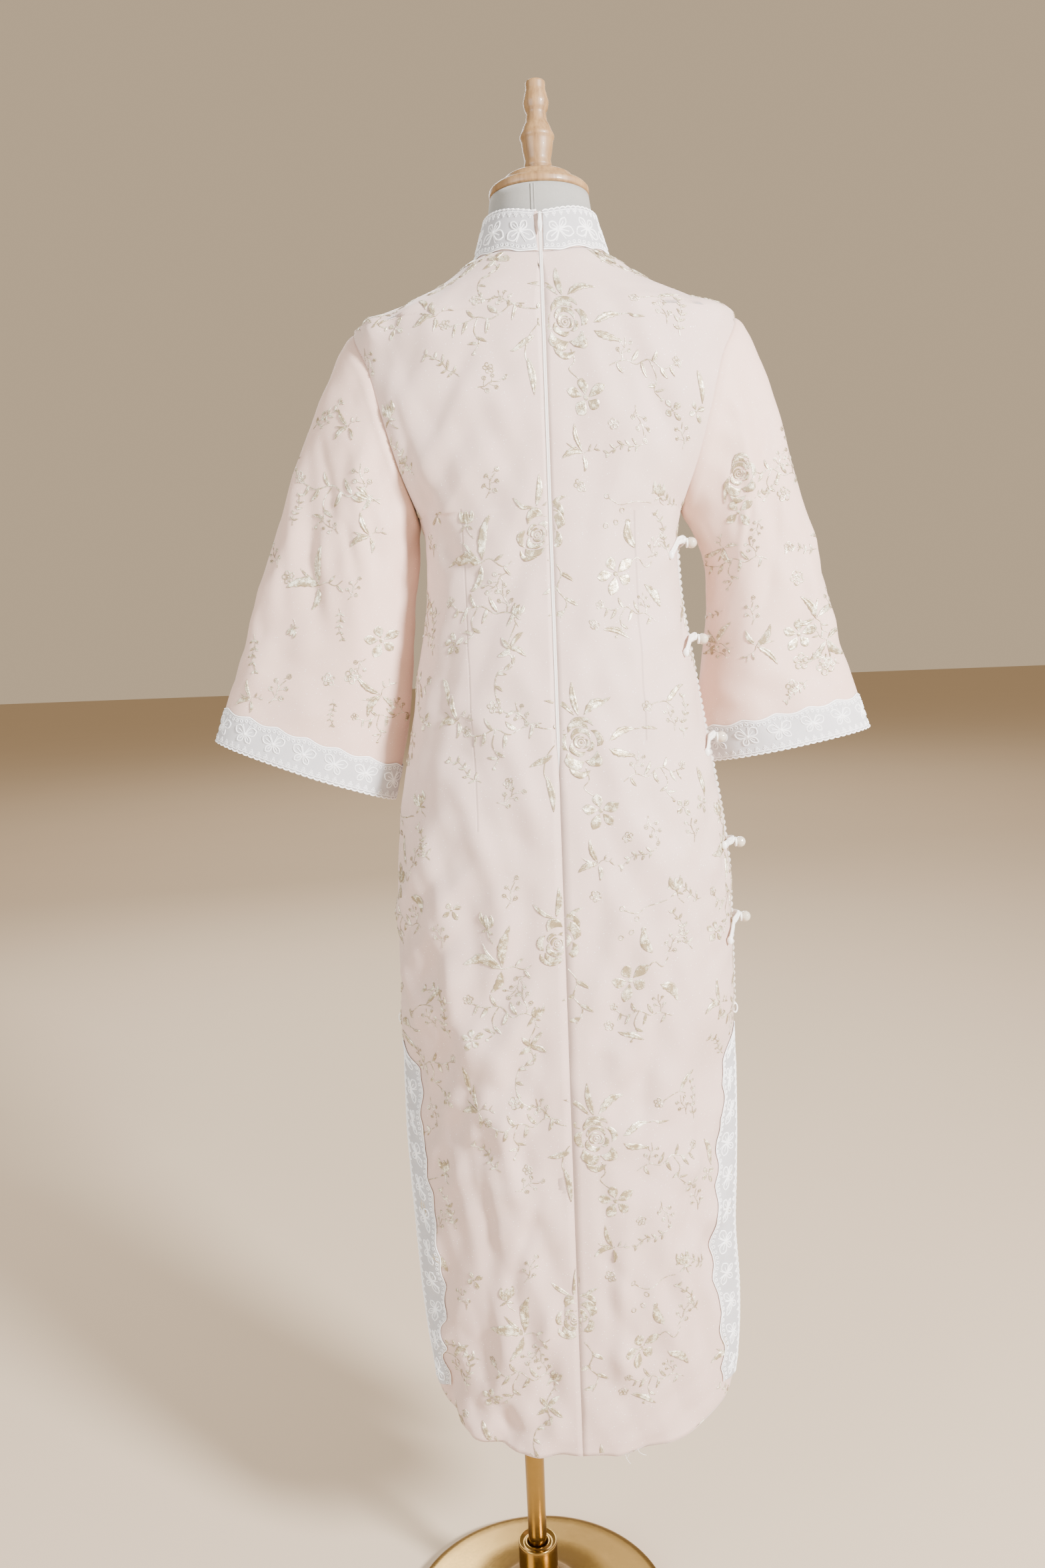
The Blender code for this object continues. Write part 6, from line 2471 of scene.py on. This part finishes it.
@dataclass
class BackZip:
    """The concealed zip in the centre back seam, its slider at the collar's top and its drop-shaped tab."""

    finishes: Finishes
    # The tape's section over one edge, from the middle: across and out, in millimetres
    ridge: tuple[Spot, ...] = (
        (0.45, 0.18), (0.95, 0.26), (1.40, 0.12), (1.66, -0.25), (1.76, -1.10), (4.2, -1.15),
    )  # fmt: skip
    ridge_middle: Spot = (0.0, -0.16)
    sunk_seam: float = 1.6
    tape_thickness: float = 0.6 * MM
    slider: Point = (4.6 * MM, 2.4 * MM, 8.0 * MM)
    slider_share: float = 0.86
    lug_x: float = 1.75 * MM
    lug_up: float = 0.30
    lug_height: float = 1.3 * MM
    lug_depth: float = 0.7 * MM
    tab_length: float = 21.5 * MM
    tab_thickness: float = 1.0 * MM

    def tape(self) -> None:
        """Build the tape with its two rolled edges."""
        end = CUT.zip_end_z + CUT.zip_fade + 0.001
        levels = [end + (CUT.tip_z - end) * k / 150 for k in range(151)]
        line = [(-BACK(z), z) for z in levels]
        line += [CUT.yoke_point(-math.pi / 2, k / 20)[1:] for k in range(1, 21)]
        line += [CUT.collar_point(-math.pi / 2, 0.985 * k / 10)[1:] for k in range(1, 11)]
        section = (*((-x, out) for x, out in reversed(self.ridge)), self.ridge_middle, *self.ridge)
        rows = []
        for y, z in line:
            shown = zip_half_shown(z) / ZIP_SHOWN
            sunk = self.sunk_seam * (1 - shown)
            rows.append([(x * MM * shown, y - CUT.rest - (out - sunk) * MM, z) for x, out in section])
        surface = Surface(np.array(rows))
        piece = cloth_object("zip_tape_rolls", surface, self.finishes.tape, self.tape_thickness)
        hand_over(piece, ("zip_tape",))

    def build(self) -> None:
        """Build the tape, the slider and the tab."""
        self.tape()
        low, here, top = (CUT.collar_point(-math.pi / 2, share) for share in (0.0, self.slider_share, 1.0))
        lean = math.atan2(top[1] - low[1], top[2] - low[2])
        wide, deep, tall = self.slider
        out = np.array((0.0, -math.cos(lean), math.sin(lean)))
        rise = np.array((0.0, math.sin(lean), math.cos(lean)))
        middle = np.array((0.0, here[1] - 2.6 * CUT.rest - deep / 2, here[2]))
        rings = []
        for k in range(15):
            t = -1 + 2 * k / 14
            half = wide / 2 * (0.72 + 0.28 * (1 + t) / 2) * (1 - abs(t) ** 6 * 0.4)
            thick = deep / 2 * (1 - abs(t) ** 4 * 0.55)
            spots = [(power(math.cos(a), 0.6) * half, power(math.sin(a), 0.6) * thick) for a in turns(20)]
            rings.append([middle + np.array((x, 0, 0)) + out * y + rise * t * tall / 2 for x, y in spots])
        parts = [ring_mesh(rings)]
        for hand in (-1, 1):
            foot = middle + np.array((hand * self.lug_x, 0.0, 0.0))
            foot = foot + rise * self.lug_up * tall + out * deep / 2
            bow = hoop(foot, rise * self.lug_height, out * self.lug_depth, 22)[:12]
            parts.append(tube_mesh(bow, 0.32 * MM))
        add_piece("zip_slider_body", parts, self.finishes.slider, ("zip_slider",))
        off = deep / 2 + CUT.rest + self.tab_thickness / 2
        self.tab(middle + out * off + rise * tall * self.lug_up, out, rise)

    def tab(self, hinge: Array, out: Array, rise: Array) -> None:
        """Build the tab: a ring at the hinge and a long drop below it.

        Args:
            hinge: The hinge's place.
            out: The way out from the collar.
            rise: The way up along it.
        """
        outline = []
        for k in range(33):
            t = k / 32
            half = (1.15 + 1.0 * math.sin(math.pi * t**1.5) ** 0.8) * MM * (1 - t**10)
            outline.append((half, -t * (self.tab_length - 0.5 * MM)))
        outline += [(-half, down) for half, down in reversed(outline)]
        rings = []
        for level, grow in ((-0.5, 0.82), (-0.28, 1.0), (0.28, 1.0), (0.5, 0.82)):
            base = hinge + out * level * self.tab_thickness
            rings.append([base + np.array((half * grow, 0, 0)) + rise * down for half, down in outline])
        rim = hoop(hinge, (0.75 * MM, 0.0, 0.0), rise * 0.5 * MM, 16)
        parts = [ring_mesh(rings), tube_mesh(rim, 0.3 * MM, 8, True)]
        add_piece("zip_tab", parts, self.finishes.moulded, ("zip_pull",), Body.PULL)


@dataclass
class PearlFrogs:
    """The five fastenings down the right side: two satin cords side by side, a knot and a pearl."""

    finishes: Finishes
    # Each frog's height and its rise towards the front
    rows: tuple[Spot, ...] = ((1.198, 0.015), (1.100, 0.013), (0.998, 0.012), (0.894, -0.004), (0.804, 0.015))
    middle_y: float = -0.004
    reach: Spot = (-0.044, 0.018)
    arch: float = 0.0052
    arch_run: float = 0.022
    sag: float = 0.0035
    cord: float = 2.1 * MM
    squash: float = 0.66
    knot_step: int = 18
    pearl: float = 5.8 * MM

    def route(self, z: float, rise: float, shift: float, steps: int = 26) -> list[Point]:
        """Give one cord's middle line.

        Args:
            z: The frog's height.
            rise: How much higher its back end is.
            shift: How far the cord is moved up.
            steps: How many steps it has.

        Returns:
            The line's points.
        """
        made = []
        start, end = self.reach
        lift = self.cord * self.squash + 1.1 * MM
        for k in range(steps + 1):
            along = start + (end - start) * k / steps
            y = self.middle_y + along
            level = z + rise * (0.5 - (max(-along, 0.0) / -start) ** CUT.roundness)
            level += self.sag * math.sin(math.pi * k / steps)
            depth = CUT.depth(level, y < 0)
            x = HALF(level) * (1 - (abs(y) / depth) ** CUT.roundness) ** (1 / CUT.roundness)
            hump = self.arch * (1 - min(abs(along) / self.arch_run, 1.0) ** 2)
            slope = np.array((x / HALF(level), y / depth))
            slope /= np.linalg.norm(slope)
            made.append((x + slope[0] * lift + hump, y + slope[1] * lift, level + shift))
        return made

    def build(self) -> None:
        """Build each frog's cords and its pearl."""
        cord, pearl = self.cord, self.pearl
        for number, (z, rise) in enumerate(self.rows, 1):
            lines = [np.array(self.route(z, rise, shift)) for shift in (cord * 0.95, -cord * 0.95)]
            parts = [tube_mesh(line, cord, 12, squash=self.squash) for line in lines]
            middle = (lines[0] + lines[1]) / 2
            parts.append(ball_mesh(middle[0], (cord * 1.5, cord * 1.2, cord * 2.1), 10))
            knot = middle[self.knot_step] + np.array((0.6 * MM, 0, 0))
            parts.append(ball_mesh(knot, (2.2 * MM, 3.4 * MM, 4.2 * MM), 10))
            seat = z + rise / 2
            x = HALF(seat) + 4.0 * MM + 2 * CUT.rest + self.arch + pearl
            centre, wide = (x - pearl * 0.80, self.middle_y, seat), pearl * 0.72
            parts.append(tube_mesh(hoop(centre, (0, wide, 0), (0, 0, wide), 24), 1.1 * MM, 8, True))
            add_piece(f"frog_{number}_cords", parts, self.finishes.satin, (f"frog_{number}",))
            bead = [ball_mesh((x, self.middle_y, seat), pearl, 18)]
            add_piece(f"pearl_{number}_bead", bead, self.finishes.pearl, (f"pearl_{number}",))


@dataclass
class SidePicots:
    """The narrow edging of small loops that stands out of the right side seam."""

    finishes: Finishes
    top: float = 1.203
    pitch: float = 6.8 * MM
    radius: float = 0.34 * MM
    loop: float = 2.3 * MM
    foot: float = 0.5 * MM
    steps: int = 8

    def build(self) -> None:
        """Build the edging's cord, its loops and the net between them."""
        count = round((self.top - CUT.slit_z) / self.pitch)
        base, loops = [], []
        for k in range(count * self.steps + 1):
            share = k / self.steps
            z = CUT.slit_z + share * (self.top - CUT.slit_z) / count
            x = HALF(z) + 0.7 * MM
            arch = abs(math.sin(math.pi * share)) ** 0.8
            base.append((x, 0.5 * MM, z))
            loops.append((x + self.foot + self.loop * arch, 0.5 * MM, z))
        points = np.array([p for pair in zip(base, loops) for p in pair]) - np.array((0.0, 0.15 * MM, 0.0))
        web = (points, grid_faces(len(base), 2, False))
        parts = [tube_mesh(base, self.radius, 6), tube_mesh(loops, self.radius, 6), web]
        add_piece("side_picots", parts, self.finishes.tape, ("side_edging",))


@dataclass
class LooseThreads:
    """A few loose threads at the hem."""

    finishes: Finishes
    # Each thread's start, and its run to the side and up
    threads: tuple[tuple[float, ...], ...] = (
        (0.044, -0.084, 0.262, 0.006, -0.016), (0.049, -0.083, 0.262, -0.004, -0.011),
        (-0.094, -0.074, 0.282, -0.006, -0.009), (0.058, -0.082, 0.262, 0.009, -0.008),
    )  # fmt: skip
    radius: float = 0.16 * MM
    stand_off: float = 0.8 * MM
    bow: float = 1.5 * MM

    def build(self) -> None:
        """Build the threads as fine tubes."""
        parts = []
        for x, y, z, run, drop in self.threads:
            line = []
            for k in range(12):
                t = k / 11
                bow = self.stand_off + self.bow * math.sin(math.pi * t)
                line.append((x + run * t * t, y - bow, z + drop * t))
            parts.append(tube_mesh(line, self.radius, 5))
        add_piece("loose_threads", parts, self.finishes.embroidery)


@dataclass
class DressForm:
    """The limbless form: its padded body in a grey stretch cover, with a seam and a closure on the neck."""

    finishes: Finishes
    around: int = 88
    rows: int = 120
    shrink: float = 1.6 * MM
    neck: Spot = (1.470, 1.500)
    roundness: float = 2.3
    neck_rounder: float = 0.25
    end_share: float = 0.9
    seam_x: float = -0.006
    seam_low: float = 1.495
    seam_high: float = 1.5505
    cord: float = 0.75 * MM

    def build(self) -> None:
        """Build the cover and the neck's closure."""
        half, back, front = (steady_curve(FORM, column) for column in (1, 2, 3))
        low, high = FORM[0][0], FORM[-1][0]
        rings = []
        for k in range(self.rows + 1):
            z = low + (high - low) * k / self.rows
            neck = smooth(z, *self.neck)
            sizes = [size(z) - self.shrink * (1 - neck) for size in (half, back, front)]
            roundness = self.roundness - self.neck_rounder * neck
            rings.append([(*CUT.oval(*sizes, turn, roundness), z) for turn in turns(self.around)])
        share = self.end_share
        rings.insert(0, [(x * share, y * share, z) for x, y, z in rings[0]])
        add_piece("form_cover", [ring_mesh(rings)], self.finishes.jersey, ("form",))
        parts = []
        for x in (self.seam_x - 2 * self.cord, self.seam_x + 2 * self.cord):
            levels = np.linspace(self.seam_low, self.seam_high, 24)
            line = [(x, -back(z) * 0.995 + 0.1 * MM, z) for z in levels]
            parts.append(tube_mesh(line, self.cord))
        add_piece("neck_closure", parts, self.finishes.jersey)


@dataclass
class TurnedPieces:
    """The wooden cap and finial, and the brass stand, turned from the solids' own profiles."""

    finishes: Finishes
    segments: int = 96
    thinnest: float = 0.05 * MM
    cap_base: float = 1.5523
    cap_height: float = 0.0220
    pole_bottom: float = 0.0620
    pole_radius: float = 0.0110
    form_bottom: float = 0.800
    flange: Spot = (0.0400, 0.0040)
    # Profiles of radius and height, each down its outer side
    cap: tuple[Spot, ...] = (
        (0.0, 0.0220), (0.0300, 0.0220), (0.0345, 0.0195), (0.0380, 0.0135), (0.0470, 0.0105),
        (0.0504, 0.0070), (0.0504, 0.0020), (0.0480, 0.0), (0.0, 0.0),
    )  # fmt: skip
    finial: tuple[Spot, ...] = (
        (0.0, 0.0910), (0.0080, 0.0910), (0.0099, 0.0895), (0.0099, 0.0820), (0.0108, 0.0790),
        (0.0130, 0.0700), (0.0118, 0.0640), (0.0098, 0.0600), (0.0108, 0.0520), (0.0133, 0.0475),
        (0.0152, 0.0425), (0.0173, 0.0385), (0.0173, 0.0360), (0.0160, 0.0330), (0.0149, 0.0240),
        (0.0130, 0.0145), (0.0143, 0.0090), (0.0126, 0.0050), (0.0145, 0.0), (0.0, 0.0),
    )  # fmt: skip
    foot: tuple[Spot, ...] = (
        (0.0, 0.0617), (0.0215, 0.0617), (0.0235, 0.0560), (0.0320, 0.0420), (0.0520, 0.0290),
        (0.0900, 0.0200), (0.1420, 0.0145), (0.1485, 0.0120), (0.1500, 0.0080), (0.1500, 0.0020),
        (0.1480, 0.0), (0.0, 0.0),
    )  # fmt: skip
    sleeve: tuple[Spot, ...] = (
        (0.0113, 0.0940), (0.0135, 0.0945), (0.0160, 0.0925), (0.0210, 0.0955), (0.0220, 0.0945),
        (0.0220, 0.0630), (0.0215, 0.0620), (0.0113, 0.0620),
    )  # fmt: skip

    def turned(self, name: str, profile: Sequence[Spot], base: float = 0.0) -> None:
        """Turn one profile, with its corners eased, into a wooden or a brass piece.

        Args:
            name: The piece's name, which ends with what it is made of.
            profile: Its profile.
            base: The height that the profile starts from.
        """
        node, _, stuff = name.rpartition("_")
        wooden = stuff == "wood"
        x = 0.0 if wooden else -CENTRE_X
        rings = []
        for radius, z in reversed(rounded(profile)):
            reach = max(radius, self.thinnest)
            rings.append(hoop((x, 0.0, z + base), (reach, 0.0, 0.0), (0.0, reach, 0.0), self.segments))
        finish, slot = (self.finishes.wood, Slot.WOOD) if wooden else (self.finishes.brass, Slot.BRASS)
        add_piece(name, [ring_mesh(rings, profile[0][0] > 0)], finish, (node,))

    def build(self) -> None:
        """Build the wooden and the brass pieces."""
        self.turned("neck_cap_wood", self.cap, self.cap_base)
        self.turned("finial_wood", self.finial, self.cap_base + self.cap_height + CUT.rest)
        self.turned("stand_foot_brass", self.foot)
        self.turned("pole_sleeve_brass", self.sleeve)
        top = self.form_bottom - CUT.rest
        wide, thick = self.flange
        self.turned("pole_flange_brass", [(0.0, top), (wide, top), (wide, top - thick), (0.0, top - thick)])
        end, low, radius = top - thick - CUT.rest, self.pole_bottom, self.pole_radius
        self.turned("pole_brass", [(0.0, end), (radius, end), (radius, low), (0.0, low)])


def rounded(profile: Sequence[Spot], ease: float = 0.22) -> list[Spot]:
    """Round each inner corner of a profile with three points."""
    made = [profile[0]]
    for before, here, after in zip(profile, profile[1:], profile[2:]):
        start, end = ([h + (o - h) * ease for h, o in zip(here, other)] for other in (before, after))
        middle = [0.25 * s + 0.5 * h + 0.25 * e for s, h, e in zip(start, here, end)]
        made += [tuple(start), tuple(middle), tuple(end)]
    return [*made, profile[-1]]


@dataclass(frozen=True)
class Lamp:
    """One large soft lamp."""

    name: str
    place: Point
    aim: Point
    size: float
    power: float
    colour: Colour = (1.0, 1.0, 1.0)


@dataclass
class Studio:
    """The pale floor, the soft lamps and the camera at the photograph's viewing angle."""

    camera_place: Point = (0.055, -1.28, 1.10)
    pitch: float = -6.2
    yaw: float = 1.76
    roll: float = -2.2
    long_side: float = 36.0
    lens: float = 36.0 * 1820 / 2352
    clip: Spot = (0.05, 100.0)
    floor: float = 40.0
    sky: Colour = (0.69, 0.525, 0.345)
    sky_strength: float = 0.84
    lamps: tuple[Lamp, ...] = (
        Lamp("key lamp", (2.6, -2.3, 2.4), (0.05, 0.0, 0.9), 0.7, 620.0, (1.0, 0.965, 0.955)),
        Lamp("fill lamp", (-2.8, -2.8, 1.8), (0.05, 0.0, 0.9), 2.4, 170.0, (0.88, 0.94, 1.0)),
        Lamp("back lamp", (-0.8, 3.2, 2.9), (0.05, 0.0, 1.1), 2.4, 110.0),
        Lamp("floor lamp", (0.0, 7.0, 5.0), (0.0, 7.0, 0.0), 7.0, 240.0, (1.0, 0.94, 0.85)),
    )

    def build(self) -> None:
        """Build the floor, the lamps, the sky and the camera."""
        size = self.floor
        corners = [(-size, -size, 0.0), (size, -size, 0.0), (size, size, 0.0), (-size, size, 0.0)]
        floor = new_object("studio_floor", corners, [(0, 1, 2, 3)], FloorFinish().make("studio floor"))
        scene = bpy.context.scene
        world = bpy.data.worlds.new("studio sky")
        world.use_nodes = True
        sky = world.node_tree.nodes["Background"]
        sky.inputs["Color"].default_value = (*self.sky, 1.0)
        sky.inputs["Strength"].default_value = self.sky_strength
        scene.world = world
        for lamp in self.lamps:
            data = bpy.data.lights.new(lamp.name, "AREA")
            data.shape, data.size, data.energy, data.color = "DISK", lamp.size, lamp.power, lamp.colour
            light = bpy.data.objects.new(lamp.name, data)
            light.location = lamp.place
            aim = Vector(lamp.aim) - Vector(lamp.place)
            light.rotation_euler = aim.to_track_quat("-Z", "Y").to_euler()
            scene.collection.objects.link(light)
        scene.camera = self.camera()

    def camera(self) -> Thing:
        """Place the camera as the photograph's was."""
        data = bpy.data.cameras.new("camera")
        data.sensor_width, data.lens = self.long_side, self.lens
        data.clip_start, data.clip_end = self.clip
        camera = bpy.data.objects.new("camera", data)
        turn = Matrix.Translation(self.camera_place)
        for angle, axis in ((self.yaw, "Z"), (90 + self.pitch, "X"), (self.roll, "Z")):
            turn @= Matrix.Rotation(math.radians(angle), 4, axis)
        camera.matrix_world = turn
        bpy.context.scene.collection.objects.link(camera)
        return camera


def main() -> None:
    """Build every piece in order."""
    logging.basicConfig(level=logging.INFO, format="%(message)s")
    finishes = Finishes()
    Studio().build()
    DressForm(finishes).build()
    TurnedPieces(finishes).build()
    panels = DressPanels(finishes).build()
    FlaredSleeve(finishes, "left", Side.LEFT, (0.364, 1.022), (0.176, 0.953), 0.045, 0.010, (0.030, 0.0),
                 LEFT_SLEEVE_MOTIFS).build()  # fmt: skip
    FlaredSleeve(finishes, "right", Side.RIGHT, (0.335, 1.010), (0.161, 0.979), 0.052, 0.044, (0.190, 0.150),
                 RIGHT_SLEEVE_MOTIFS).build()  # fmt: skip
    SlitLaces(finishes, panels).build()
    StandCollar(finishes).build()
    BackZip(finishes).build()
    PearlFrogs(finishes).build()
    SidePicots(finishes).build()
    LooseThreads(finishes).build()


if __name__ == "__main__":
    main()
